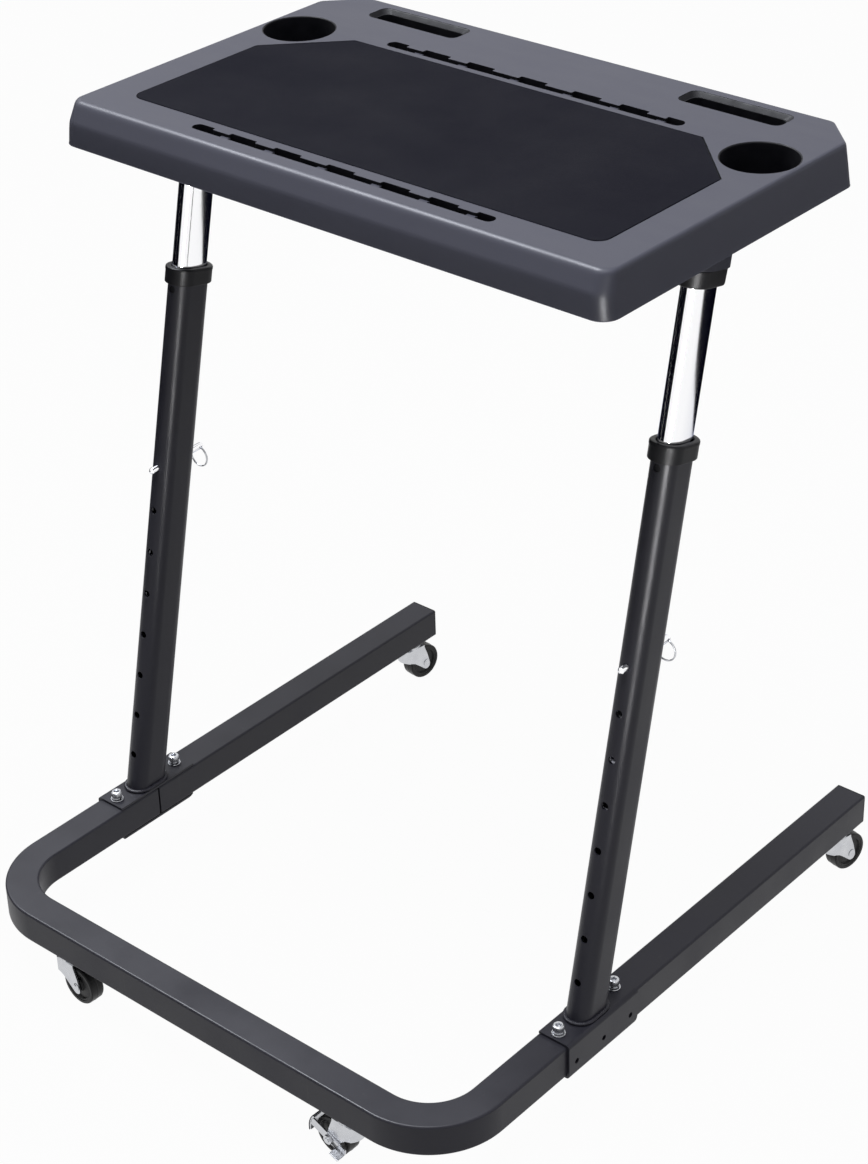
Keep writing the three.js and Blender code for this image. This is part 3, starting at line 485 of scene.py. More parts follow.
class Tree(Nodes):
    """Geometry Nodes tree with named inputs, which ends in one geometry."""

    def __init__(self, name, **inputs):
        super().__init__(bpy.data.node_groups.new(name, "GeometryNodeTree"))
        face = self.tree.interface
        face.new_socket("Geometry", in_out="INPUT", socket_type="NodeSocketGeometry")
        kinds = {float: "NodeSocketFloat", int: "NodeSocketInt"}
        inputs["finish"] = bpy.types.Material
        self.sockets = {
            title: face.new_socket(title, in_out="INPUT", socket_type=kinds.get(kind, "NodeSocketMaterial"))
            for title, kind in inputs.items()
        }
        face.new_socket("Geometry", in_out="OUTPUT", socket_type="NodeSocketGeometry")
        self.inputs = self.node("NodeGroupInput").outputs

    def part(self, kind, links=None, **settings):
        return self.node("GeometryNode" + kind, links, **settings)

    def end(self, geometry):
        """Ends the tree in realized instances with their material set."""
        real = self.part("RealizeInstances", {"Geometry": geometry})
        dressed = self.part("SetMaterial", {"Geometry": real, "Material": self.inputs["finish"]})
        self.node("NodeGroupOutput", {0: dressed})
        return self

    def run(self, name, points, closed=False, **values):
        """Makes a piece from a path, with the tree's inputs set."""
        count = len(points)
        mesh = bpy.data.meshes.new(name)
        edges = [(i, (i + 1) % count) for i in range(count if closed else count - 1)]
        mesh.from_pydata([tuple(point) for point in points], edges, [])
        obj = linked(name, mesh)
        modifier = obj.modifiers.new("nodes", "NODES")
        modifier.node_group = self.tree
        for title, value in values.items():
            modifier[self.sockets[title].identifier] = value
        return settle(obj)


def square_tube_tree():
    """Square bar with rounded edges along a level path whose corners are bent round."""
    tree = Tree("square tube", size=float, corner=float, bend=float)
    size = tree.inputs["size"]
    path = tree.part("MeshToCurve", {"Mesh": tree.inputs["Geometry"]})
    bent = tree.part("FilletCurve", {0: path, "Count": 28, "Radius": tree.inputs["bend"]}, mode="POLY")
    level = tree.part("SetCurveNormal", {"Curve": bent}, mode="Z_UP")
    square = tree.part("CurvePrimitiveQuadrilateral", {"Width": size, "Height": size})
    section = tree.part("FilletCurve", {0: square, "Count": 6, "Radius": tree.inputs["corner"]}, mode="POLY")
    return tree.end(tree.part("CurveToMesh", {"Curve": level, "Profile Curve": section, "Fill Caps": True}))


def weld_bead_tree():
    """Overlapping ripples of weld along a closed path."""
    tree = Tree("weld bead", step=float, size=float, seed=int)
    path = tree.part("MeshToCurve", {"Mesh": tree.inputs["Geometry"]})
    spots = tree.part("CurveToPoints", {"Curve": path, "Length": tree.inputs["step"]}, mode="LENGTH")
    ripple = tree.part("MeshUVSphere", {"Segments": 14, "Rings": 8, "Radius": tree.inputs["size"]})
    links = {0: (0.9, 0.62, 0.85), 1: (1.08, 0.75, 1.12), "Seed": tree.inputs["seed"]}
    spread = tree.node("FunctionNodeRandomValue", links, data_type="FLOAT_VECTOR")
    turns = spots.outputs["Rotation"]
    return tree.end(tree.part(
        "InstanceOnPoints", {"Points": spots, "Instance": ripple, "Rotation": turns, "Scale": spread}
    ))


def knurl_tree():
    """Fine upright ridges round a bolt head."""
    tree = Tree("knurl", count=int, radius=float, height=float, ridge=float)
    count = tree.inputs["count"]
    ring = tree.part("CurvePrimitiveCircle", {"Resolution": count, "Radius": tree.inputs["radius"]})
    spots = tree.part("CurveToPoints", {"Curve": ring, "Count": count}, mode="COUNT")
    links = {"Vertices": 6, "Radius": tree.inputs["ridge"], "Depth": tree.inputs["height"]}
    ridge = tree.part("MeshCylinder", links)
    return tree.end(tree.part("InstanceOnPoints", {"Points": spots, "Instance": ridge}))


def coil_tree():
    """Round wire wound to a flat coil round Z."""
    tree = Tree("coil", turns=float, radius=float, rise=float, wire=float)
    radius = tree.inputs["radius"]
    links = {"Resolution": 56, "Rotations": tree.inputs["turns"], "Height": tree.inputs["rise"]}
    spiral = tree.part("CurveSpiral", {**links, "Start Radius": radius, "End Radius": radius})
    circle = tree.part("CurvePrimitiveCircle", {"Resolution": 10, "Radius": tree.inputs["wire"]})
    return tree.end(tree.part("CurveToMesh", {"Curve": spiral, "Profile Curve": circle, "Fill Caps": True}))


# Materials


def rgba(colour):
    return colour if isinstance(colour, bpy.types.NodeSocket) else (*colour, 1)


class Finish(Nodes):
    """Material whose patterns read the piece's own coordinates."""

    def __init__(self, name, colour, roughness, metallic=0.0, **constants):
        self.material = bpy.data.materials.new(name)
        self.material.use_nodes = True
        self.material.diffuse_color = (*colour, 1)
        super().__init__(self.material.node_tree)
        self.sockets = self.tree.nodes["Principled BSDF"].inputs
        constants.update(Base_Color=(*colour, 1), Roughness=roughness, Metallic=metallic)
        for key, value in constants.items():
            self.sockets[key.replace("_", " ")].default_value = value
        self.coordinates = self.tree.nodes.new("ShaderNodeTexCoord").outputs["Object"]

    def mapped(self, scale=(1, 1, 1), turn=(0, 0, 0)):
        return self.node("ShaderNodeMapping", {"Vector": self.coordinates, "Scale": scale, "Rotation": turn})

    def noise(self, scale, detail=2.0, stretch=(1, 1, 1)):
        links = {"Vector": self.mapped(stretch), "Scale": scale, "Detail": detail}
        return self.node("ShaderNodeTexNoise", links).outputs["Fac"]

    def between(self, factor, low, high, start=0.3, stop=0.7):
        """Value that goes from low to high as a factor goes from start to stop."""
        links = {"Value": factor, "From Min": start, "From Max": stop, "To Min": low, "To Max": high}
        return self.node("ShaderNodeMapRange", links).outputs[0]

    def blend(self, factor, first, second):
        links = {0: factor, 6: rgba(first), 7: rgba(second)}
        return self.node("ShaderNodeMix", links, data_type="RGBA").outputs[2]

    def math(self, operation, first, second):
        return self.node("ShaderNodeMath", {0: first, 1: second}, operation=operation).outputs[0]

    def bump(self, height, distance, strength, **under):
        links = {"Height": height, "Distance": distance, "Strength": strength, **under}
        return self.node("ShaderNodeBump", links)

    def wire(self, colour, roughness, normal):
        for key, value in (("Base Color", colour), ("Roughness", roughness), ("Normal", normal.outputs[0])):
            self.tree.links.new(value, self.sockets[key])
        return self.material


def painted_steel():
    """Paint with an orange peel and a few scuffs."""
    paint = Finish("painted_steel", (0.016, 0.016, 0.022), 0.38, Specular_IOR_Level=0.22)
    peel, cloud = paint.noise(700, 3), paint.noise(14, 4)
    scuff = paint.between(paint.noise(120, 6, (1, 1, 0.15)), 0, 1, 0.66, 0.74)
    colour = paint.blend(cloud, (0.029, 0.0285, 0.0385), (0.036, 0.0355, 0.0475))
    sheen = paint.math("ADD", paint.math("MULTIPLY", peel, 0.4), cloud)
    return paint.wire(
        paint.blend(paint.math("MULTIPLY", scuff, 0.25), colour, (0.06, 0.06, 0.065)),
        paint.between(sheen, 0.34, 0.46, 0.5, 0.9),
        paint.bump(peel, 0.00006, 0.5),
    )


def chrome():
    """Plating with faint smears and draw lines along the tube. Its dark blue edge tint is a painted
    reflection that darkens the tube's sides.
    """
    plating = Finish("chrome", (0.97, 0.97, 0.98), 0.06, 1.0, Specular_Tint=(0.25, 0.28, 0.42, 1))
    smear = plating.noise(26, 4, (1, 1, 0.25))
    return plating.wire(
        plating.blend(smear, (0.95, 0.95, 0.965), (0.99, 0.99, 1.0)),
        plating.between(smear, 0.06, 0.12),
        plating.bump(plating.noise(1500, 2, (1, 1, 0.004)), 0.00001, 0.25),
    )


def zinc():
    """Zinc with a fine spangle and dull patches."""
    coat = Finish("zinc", (0.84, 0.85, 0.87), 0.26, 1.0)
    spangle = coat.node("ShaderNodeTexVoronoi", {"Vector": coat.coordinates, "Scale": 420}).outputs["Color"]
    dull = coat.noise(90, 5)
    return coat.wire(
        coat.blend(dull, (0.46, 0.47, 0.50), (0.66, 0.67, 0.69)),
        coat.between(coat.math("ADD", dull, coat.math("MULTIPLY", spangle, 0.25)), 0.17, 0.36, 0.4, 0.9),
        coat.bump(coat.noise(520, 3), 0.00004, 0.4),
    )


def plastic(name, colour, roughness, level, clouds, dark, light, dull, grain, grain_bump, flow=None):
    """Moulded plastic: clouded colour, uneven dullness and a fine grain."""
    moulded = Finish(name, colour, roughness, Specular_IOR_Level=level)
    cloud = moulded.noise(*clouds)
    return moulded.wire(
        moulded.blend(cloud, dark, light),
        moulded.between(moulded.noise(*flow) if flow else cloud, *dull),
        moulded.bump(moulded.noise(*grain), *grain_bump),
    )


def mat_rubber():
    """Rubber pressed with a fine crossed weave."""
    rubber = Finish("mat_rubber", (0.02, 0.02, 0.029), 0.75, Specular_IOR_Level=0.03)
    ribs = []
    for turn in (math.radians(32), math.radians(-32)):
        links = {"Vector": rubber.mapped(turn=(0, 0, turn)), "Scale": 300, "Distortion": 0.4, "Detail": 1}
        ribs.append(rubber.node("ShaderNodeTexWave", links, bands_direction="X").outputs["Fac"])
    weave = rubber.math("MULTIPLY", *ribs)
    worn = rubber.noise(9, 5)
    dark = rubber.blend(worn, (0.007, 0.007, 0.012), (0.011, 0.011, 0.018))
    return rubber.wire(
        rubber.blend(weave, dark, (0.017, 0.017, 0.026)),
        rubber.between(worn, 0.64, 0.82),
        rubber.bump(weave, 0.0003, 0.8, Normal=rubber.bump(rubber.noise(900, 3), 0.0001, 0.5)),
    )


PAINT = painted_steel()
CHROME = chrome()
ZINC = zinc()
TRAY = plastic(
    "tray_plastic", (0.122, 0.123, 0.155), 0.4, 0.13, (5, 3), (0.101, 0.1025, 0.132), (0.112, 0.114, 0.146),
    (0.37, 0.46), (1900, 2), (0.00006, 0.5), flow=(30, 5, (0.3, 1, 1)),
)
# Near-black copy of the tray plastic for the insides of the wells, slots and grip pockets, their sloped
# ledges and the mat's gap: painted shade in these recesses, darker than the tray's own plastic.
PAINTED_SHADE = plastic(
    "recess_plastic", (0.006, 0.006, 0.008), 0.5, 0.12, (60, 4), (0.004, 0.004, 0.006), (0.009, 0.009, 0.012),
    (0.44, 0.6), (1500, 2), (0.00005, 0.5),
)
BLACK = plastic(
    "black_plastic", (0.014, 0.014, 0.017), 0.42, 0.16, (40, 4), (0.012, 0.012, 0.015), (0.019, 0.019, 0.022),
    (0.34, 0.46), (1600, 2), (0.00006, 0.5),
)
MAT = mat_rubber()
WHEEL = plastic(
    "wheel_plastic", (0.009, 0.009, 0.011), 0.3, 0.22, (70, 5), (0.005, 0.005, 0.006), (0.014, 0.014, 0.015),
    (0.28, 0.46), (800, 4), (0.00005, 0.6),
)
SQUARE_TUBE = square_tube_tree()
WELD_BEAD = weld_bead_tree()
KNURL = knurl_tree()
COIL = coil_tree()


# Base


def make_square_tube(name, path, bend, node):
    points = [place(x, y, TUBE_MIDDLE) for x, y in path]
    tube = SQUARE_TUBE.run(name, points, size=TUBE, corner=TUBE_CORNER, bend=bend, finish=PAINT)
    finish(tube, PAINT, "base", node)


def make_front_tube():
    start, end = TUBE / 2, SEAM - SEAM_GAP / 2
    path = [(-TUBE_LINE, end), (-TUBE_LINE, start), (TUBE_LINE, start), (TUBE_LINE, end)]
    make_square_tube("bent_front_tube", path, BEND_RADIUS, "front_tube")


def make_rear_arm(name, side):
    path = [(side * TUBE_LINE, SEAM + SEAM_GAP / 2), (side * TUBE_LINE, ARM_END - FRONT)]
    make_square_tube("arm_" + name, path, 0.001, f"rear_arm_{name}")


def make_arm_cap(name, side):
    """Plug with a pillowed face, a moulded groove and a rim."""
    rings = []
    for inset, depth in CAP_STEPS:
        half = TUBE / 2 - inset
        outline = box_outline(half, half, max(TUBE_CORNER - inset, 0.0008))
        rings.append([Vector((point.x, depth, point.y)) for point in outline])
    seat = shift(side * TUBE_LINE, CAP_END, TUBE_MIDDLE)
    finish(raw("arm_plug_" + name, loft(rings)), BLACK, "base", f"arm_cap_{name}", matrix=seat, sharp=40)


def bracket_outline():
    """Folded channel in X and Z about the tube's line, open towards the inner side."""
    outer, inner = TUBE / 2 + AIR + PLATE, -TUBE / 2 + BRACKET_INSET
    low, high = BRACKET_BOTTOM, BRACKET_TOP
    thin = BRACKET_BEND - PLATE
    corners = [
        (inner, low), (outer, low), (outer, high), (inner, high), (inner, high - PLATE),
        (outer - PLATE, high - PLATE), (outer - PLATE, low + PLATE), (inner, low + PLATE),
    ]
    return rounded(corners, [0, BRACKET_BEND, BRACKET_BEND, 0, 0, thin, thin, 0], 8)


def make_bracket(name, side):
    x, rear = side * TUBE_LINE, SEAM + BRACKET_LENGTH / 2
    outline = bracket_outline()
    ends = (rear - BRACKET_LENGTH, rear)
    rings = [[place(x + side * point.x, y, point.y) for point in outline] for y in ends]
    bracket = raw("bracket_" + name, loft(rings))
    y, z, low = rear - BRACKET_CORNER, BRACKET_BOTTOM + BRACKET_CORNER, BRACKET_BOTTOM - PAST
    outside = arc((y, z), BRACKET_CORNER, -QUARTER, 0, 10)
    outside += [Vector((rear + PAST, z)), Vector((rear + PAST, low)), Vector((y, low))]
    cutters = [loft([[place(x + dx, point.x, point.y) for point in outside] for dx in (-TUBE, TUBE)])]
    near, far = x + side * (TUBE / 2 - PAST), x + side * (TUBE / 2 + 2 * PLATE)
    for share in (-1, 0, 1):
        y, z = SEAM + share * SIDE_HOLE_PITCH, TUBE_BOTTOM + SIDE_HOLE_RISE
        cutters.append(rod(place(near, y, z), place(far, y, z), SIDE_HOLE_RADIUS))
    combine(bracket, cutters, "DIFFERENCE")
    soften(bracket, 0.0005)
    finish(bracket, PAINT, "base", f"foot_bracket_{name}", sharp=35)
    radius, height = WELD_NUT_RADIUS, WELD_NUT_HEIGHT
    profile = [(0.0, -height), (radius - 0.0012, -height), (radius, 0.0008 - height)]
    profile += [(radius, 0.0), (0.0, 0.0)]
    nuts = []
    for end in ENDS:
        spot = middle(f"foot_bolt_{name}_{end}")
        nuts.append(moved(lathe(profile, 6), shift(spot.x, spot.y, BRACKET_BOTTOM + AIR)))
    finish(raw("weld_nuts_" + name, merged(*nuts)), ZINC, "base")


def make_bolt(tag):
    low, high = levels("foot_bolt_" + tag)
    spot = middle("foot_bolt_" + tag)
    head_low = high - HEAD_HEIGHT
    edge = 0.0007
    profile = [(0, low), (BOLT_RADIUS - edge, low), (BOLT_RADIUS, low + edge), (BOLT_RADIUS, head_low)]
    head = [(0.0003, head_low), (0.0002, head_low + 0.0008), (0.0002, high - 0.0014), (0.0004, high - 0.0007)]
    head += [(0.001, high - 0.0002), (0.0016, high)]
    profile += [(HEAD_RADIUS - inset, z) for inset, z in head] + [(0, high)]
    bolt = raw("cap_screw_" + tag, lathe(profile, 40))
    floor = high - SOCKET_DEPTH
    socket = lathe([(0, floor - 0.0012), (SOCKET_RADIUS, floor), (SOCKET_RADIUS, high + PAST)], 6)
    flare = lathe([(SOCKET_RADIUS * 0.85, high - 0.0005), (SOCKET_RADIUS * 1.2, high + 0.0005)], 32)
    combine(bolt, [socket, flare], "DIFFERENCE")
    finish(bolt, ZINC, "base", f"foot_bolt_{tag}", matrix=shift(spot.x, spot.y, 0))
    ridges = KNURL.run(
        "knurl_" + tag, [(0, 0, 0)], count=34, radius=HEAD_RADIUS - 0.0003, height=HEAD_HEIGHT - 0.0028,
        ridge=0.00034, finish=ZINC,
    )
    finish(ridges, ZINC, "base", matrix=shift(spot.x, spot.y, (head_low + high) / 2 - 0.0003))


def make_washers(tag):
    """Flat washer with eased edges, and the split spring washer on it."""
    inner = BOLT_RADIUS + AIR
    low, high = levels("foot_washer_" + tag)
    spot = middle("foot_washer_" + tag)
    half = Vector(((WASHER_RADIUS - inner) / 2, (high - low) / 2))
    eased = [(-1, -1, 0, 1), (-1, -1, 1, 0), (1, -1, -1, 0), (1, -1, 0, 1), (1, 1, 0, -1), (1, 1, -1, 0)]
    eased += [(-1, 1, 1, 0), (-1, 1, 0, -1)]
    line = Vector(((WASHER_RADIUS + inner) / 2, (high + low) / 2))
    ring = [line + Vector((x * half.x + dx * 0.0003, y * half.y + dy * 0.0003)) for x, y, dx, dy in eased]
    washer = raw("flat_washer_" + tag, lathe(ring, 40, True))
    finish(washer, ZINC, "base", f"foot_washer_{tag}", matrix=shift(spot.x, spot.y, 0))
    low, high = levels("spring_washer_" + tag)
    section = [(inner, low), (SPRING_RADIUS, low), (SPRING_RADIUS, high), (inner, high)]
    steps, gap, rise = 44, math.radians(14), 0.0004
    rings = []
    for step in range(steps + 1):
        share = step / steps
        angle = gap / 2 + (2 * math.pi - gap) * share
        lift = rise * (share - 0.5)
        rings.append([Vector((r * math.cos(angle), r * math.sin(angle), z + lift)) for r, z in section])
    split = raw("split_washer_" + tag, loft(rings))
    soften(split, 0.00015, 1)
    finish(split, ZINC, "base", f"spring_washer_{tag}", matrix=shift(spot.x, spot.y, 0))


# Legs


def level_holes(first, count):
    """Level rods through a leg, one for each hole from a station on its front face."""
    holes = []
    for i in range(count):
        station = first + i * HOLE_PITCH + OUTER_SIZE[1] / 2 * math.tan(LEAN)
        y, z = OUTER_SIZE[1] * math.cos(LEAN), OUTER_SIZE[1] * math.sin(LEAN)
        holes.append(rod((0, -y, station - z), (0, y, station + z), HOLE_RADIUS))
    return holes


def tube_profile(low, high):
    """Spreads and heights of a tube's wall, with eased ends."""
    lip = LEG_LIP
    return [
        (0, low + lip), (0, high - lip), (-lip, high), (lip - LEG_WALL, high),
        (-LEG_WALL, high - lip), (-LEG_WALL, low + lip), (lip - LEG_WALL, low), (-lip, low),
    ]


def make_upright(name, side):
    upright = raw("leg_tube_" + name, shell(obround, OUTER_SIZE, tube_profile(OUTER_START, OUTER_END)))
    clamp = OUTER_END - CLAMP_DROP
    clamp_hole = rod((0, -OUTER_SIZE[1], clamp), (0, 0, clamp), HOLE_RADIUS)
    combine(upright, level_holes(*OUTER_HOLES) + [clamp_hole], "DIFFERENCE")
    upright.data.transform(leg_frame(side))
    foot, reach = place(side * TUBE_LINE, SEAM, 0), 0.1
    below = block((foot.x - reach, foot.y - reach, 0), (foot.x + reach, foot.y + reach, BRACKET_TOP + AIR))
    combine(upright, [below], "DIFFERENCE")
    finish(upright, PAINT, "base", f"upright_tube_{name}")


def make_weld(name, side):
    level = BRACKET_TOP + AIR + BEAD_SIZE * 0.55
    points = []
    for point in obround(OUTER_SIZE, 0.0008, 14):
        station = (level - TUBE_TOP + point.y * math.sin(LEAN)) / math.cos(LEAN)
        points.append(leg_frame(side) @ Vector((point.x, point.y, station)))
    bead = WELD_BEAD.run(
        "weld_" + name, points, closed=True, step=BEAD_STEP, size=BEAD_SIZE, seed=3 + side, finish=PAINT
    )
    finish(bead, PAINT, "base")


def make_bush(name, side):
    """Bush on the upright's mouth, with a bead round it and a liner inside the upright."""
    low, high = BUSH_SPAN
    spread, bead = BUSH_SPREAD, BUSH_SPREAD + 0.0004
    mouth = (INNER_SIZE[0] - OUTER_SIZE[0]) / 2 + 0.0006
    profile = [
        (AIR, low), (spread - 0.0006, low), (spread, low + 0.0008), (spread, high - 0.0052),
        (bead, high - 0.0047), (bead, high - 0.0016), (spread, high - 0.0008), (spread - 0.001, high),
        (mouth + 0.0008, high), (mouth, high - 0.0008), (mouth, high - 0.003), (AIR, high - 0.003),
    ]
    inner, outer = -LEG_WALL - 0.0008, -LEG_WALL - 0.0001
    start, stop = OUTER_END - LINER_LENGTH, OUTER_END - 0.001
    liner = [(outer, start), (outer, stop), (inner, stop), (inner, start)]
    bush = raw("bush_" + name, shell(obround, OUTER_SIZE, profile))
    finish(bush, BLACK, "base", f"upright_bush_{name}", matrix=leg_frame(side), sharp=40)
    sleeve = raw("bush_liner_" + name, shell(obround, OUTER_SIZE, liner))
    finish(sleeve, BLACK, "base", matrix=leg_frame(side))


def make_inner_tube(name, side):
    tube = raw("chrome_tube_" + name, shell(oval, INNER_SIZE, tube_profile(INNER_START, INNER_END)))
    combine(tube, level_holes(*INNER_HOLES), "DIFFERENCE")
    finish(tube, CHROME, "desk", f"inner_tube_{name}", matrix=leg_frame(side))


def make_collar(name, side):
    low, high = COLLAR_SPAN
    spread = COLLAR_SPREAD
    profile = [
        (AIR, low + 0.0005), (AIR + 0.0005, low), (spread - 0.0025, low), (spread - 0.0012, low + 0.0006),
        (spread - 0.0006, low + 0.002), (spread, high - 0.0012), (spread - 0.0006, high - 0.0003),
        (spread - 0.0015, high), (AIR, high),
    ]
    collar = raw("collar_" + name, shell(obround, INNER_SIZE, profile))
    finish(collar, BLACK, "desk", f"tray_collar_{name}", matrix=leg_frame(side), sharp=40)


def make_pin(name):
    """Locking pin with a tapered tip, and the pull ring in its eye."""
    low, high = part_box("lock_pin_" + name)
    spot = middle("lock_pin_" + name)
    start = low.y - PIN_LEAD
    length = high.y - start
    radius, edge = PIN_RADIUS, 0.0005
    profile = [
        (0, 0), (PIN_TIP * 0.7, 0), (PIN_TIP, 0.0003), (radius - 0.0003, PIN_TAPER - 0.0002),
        (radius, PIN_TAPER + 0.0004), (radius, length - edge), (radius - edge, length), (0, length),
    ]
    pin = raw("locking_pin_" + name, lathe(profile, 40))
    eye_z = length - PIN_EYE_INSET
    combine(pin, [rod((-0.01, 0, eye_z), (0.01, 0, eye_z), PIN_EYE_RADIUS)], "DIFFERENCE")
    matrix = shift(spot.x, start, spot.z) @ Matrix.Rotation(-QUARTER, 4, "X")
    finish(pin, CHROME, f"pin_{name}", f"lock_pin_{name}", matrix=matrix)
    ring = COIL.run(
        "pull_ring_" + name, [(0, 0, 0)], turns=1.9, radius=RING_RADIUS, rise=2 * RING_WIRE, wire=RING_WIRE,
        finish=ZINC,
    )
    hang = shift(spot.x, high.y - PIN_EYE_INSET + RING_WIRE, spot.z - RING_RADIUS)
    matrix = hang @ Matrix.Rotation(QUARTER, 4, "X") @ Matrix.Rotation(QUARTER * 0.8, 4, "Z")
    finish(ring, ZINC, f"ring_{name}", f"pin_ring_{name}", matrix=matrix)


# Tray


def tray_ring(front, side, wall=0.0):
    """Outline of the tray where its front and its other edges have these insets and depths."""
    near, far = front[0] + wall, side[0] + wall
    low_y, high_y = TRAY_FRONT + near, TRAY_BACK - far
    half = TRAY_HALF - far
    run = TRAY_CHAMFER + far * (math.sqrt(2) - 1) - far
    corners = [
        (-half, low_y), (half, low_y), (half, high_y - run), (half - run, high_y), (run - half, high_y),
        (-half, high_y - run),
    ]
    round_front = TRAY_CORNER - (near + far) / 4
    round_back = max(TRAY_CHAMFER_CORNER - far * 0.7, 0.004)
    steps = 12
    ring = []
    for i, point in enumerate(rounded(corners, [round_front] * 2 + [round_back] * 4, steps)):
        corner, step = divmod(i, steps + 1)
        share = {0: 1 - step / steps, 1: step / steps}.get(corner, 1.0)
        ring.append(Vector((point.x, point.y, DECK - front[1] - (side[1] - front[1]) * share)))
    return ring


def tray_inside(wall, lid, below):
    """Bulk of the tray drawn in by a wall and closed by a lid, open below or ending above the rim."""
    rings = [tray_ring((0.0, TRAY_HEIGHT + below), (0.0, TRAY_HEIGHT + below), wall)]
    lower = [pair for pair in EDGES if min(pair[0][1], pair[1][1]) > lid]
    rings += [tray_ring(front, side, wall) for front, side in lower[2:]]
    front, side = lower[-1]
    rings.append(tray_ring((front[0], lid), (side[0], lid), wall + 0.001))
    return loft(rings)


def tray_block(x0, x1, y0, y1, z0, z1):
    return block((x0, TRAY_FRONT + y0, z0), (x1, TRAY_FRONT + y1, z1))


def pocket(side, spread, ledge, low, high):
    """Rounded block round a grip pocket, drawn out by a spread and in by a ledge."""
    x0, x1 = sorted(side * x for x in GRIP_X)
    y0, y1 = GRIP_Y
    half_x, half_y = (x1 - x0) / 2 + spread - ledge, (y1 - y0 - ledge) / 2 + spread
    centre = Vector(((x0 + x1) / 2, TRAY_FRONT + (y0 + y1 - ledge) / 2))
    outline = box_outline(half_x, half_y, GRIP_CORNER + spread, 8)
    return prism([point + centre for point in outline], low, high)


def at_well(side, profile, steps):
    return moved(lathe(profile, steps), shift(side * WELL_PLACE[0], TRAY_FRONT + WELL_PLACE[1], 0))


def well_cut(side):
    """Well with a rounded floor edge and a rolled lip."""
    low, turn, lip = DECK - WELL_DEPTH, WELL_TURN, WELL_LIP
    profile = [(0, low)] + arc((WELL_RADIUS - turn, low + turn), turn, -QUARTER, 0, 6)
    profile += arc((WELL_RADIUS + lip, DECK - lip), lip, math.pi, QUARTER, 5)
    return at_well(side, profile + [(WELL_RADIUS + lip, DECK + PAST), (0, DECK + PAST)], 96)


def grip_ledge_cut(side):
    """Sloped ledge along the back and the ends of a grip pocket."""
    x0, x1 = sorted(side * x for x in GRIP_X)
    y0, y1 = GRIP_Y
    rings = []
    for inset, depth in GRIP_SLOPE:
        outline = box_outline((x1 - x0) / 2 - inset, (y1 - y0 - inset) / 2, GRIP_CORNER, 8)
        centre = Vector(((x0 + x1) / 2, TRAY_FRONT + (y0 + y1 - inset) / 2))
        rings.append(level_ring([point + centre for point in outline], DECK - depth))
    return loft(rings)


def slot_cut(name):
    """One side of a slot is straight, and the other steps back at each notch."""
    front, width = SLOTS[name]
    end, back, neck = SLOT_HALF - SLOT_END, front + width, front + SLOT_NECK
    ball = width / 2 * 0.98
    corners = [(-SLOT_HALF, front), (SLOT_HALF, front), (SLOT_HALF, back), (end, back), (end, neck)]
    for share in reversed(NOTCH_SHARES):
        x0, x1 = share * SLOT_HALF - NOTCH / 2, share * SLOT_HALF + NOTCH / 2
        corners += [(x1, neck), (x1, back), (x0, back), (x0, neck)]
    corners += [(-end, neck), (-end, back), (-SLOT_HALF, back)]
    radii = [ball] * 3 + [SLOT_CORNER] * (len(corners) - 4) + [ball]
    outline = [point + Vector((0, TRAY_FRONT)) for point in rounded(corners, radii, 6)]
    return prism(outline, DECK - SLOT_DEPTH, DECK + PAST)


def slot_bridges(name):
    neck = SLOTS[name][0] + SLOT_NECK
    edges = [share * SLOT_HALF - NOTCH / 2 for share in NOTCH_SHARES] + [SLOT_HALF - SLOT_END]
    low, high = DECK - SLOT_DEPTH - WALL / 2, DECK - BRIDGE_SINK
    return [tray_block(x - BRIDGE_LENGTH, x, neck - SLOT_NECK / 2, neck + WALL / 2, low, high) for x in edges]


def mat_outline(spread):
    half = MAT_HALF + spread
    front, back = TRAY_FRONT + MAT_Y[0] - spread, TRAY_FRONT + MAT_Y[1] + spread
    run = MAT_CHAMFER + spread * (math.sqrt(2) - 1) - spread
    corners = [
        (-half, front), (half, front), (half, back - run), (half - run, back), (run - half, back),
        (-half, back - run),
    ]
    return rounded(corners, [MAT_CORNER] * 2 + [0.004] * 4, 8)


def tray_parts():
    """What stands under the deck: ribs, webs, and the walls of wells, pockets and slots."""
    low, high = DECK - DECK_WALL - RIB_DEPTH, DECK - DECK_WALL / 2
    half = RIB_WALL / 2
    parts = []
    for y in (share * TRAY_DEPTH for share in RIB_ACROSS_SHARES):
        parts.append(tray_block(-TRAY_HALF, TRAY_HALF, y - half, y + half, low, high))
    for x in (share * 2 * TRAY_HALF for share in RIB_ALONG_SHARES):
        parts.append(tray_block(x - half, x + half, 0, TRAY_DEPTH, low, high))
    for side in SIDES.values():
        radius = WELL_RADIUS + WALL
        parts.append(at_well(side, [(radius, DECK - WELL_DEPTH - WALL), (radius, high)], 72))
        parts.append(pocket(side, WALL, GRIP_LEDGE, DECK - GRIP_DEPTH - WALL, high))
        parts.append(pocket(side, WALL, 0.0, DECK - 0.008, high))
        web, rise = SOCKET_WEB
        x0, x1 = sorted((0, side * (TRAY_HALF - TUBE_LINE)))
        parts.append(moved(block((x0, -web, INNER_END - rise), (x1, web, INNER_END + rise)), leg_frame(side)))
    for front, width in SLOTS.values():
        reach, y0, y1 = SLOT_HALF + WALL, front - WALL, front + width + WALL
        parts.append(tray_block(-reach, reach, y0, y1, DECK - SLOT_DEPTH - WALL, high))
    return parts


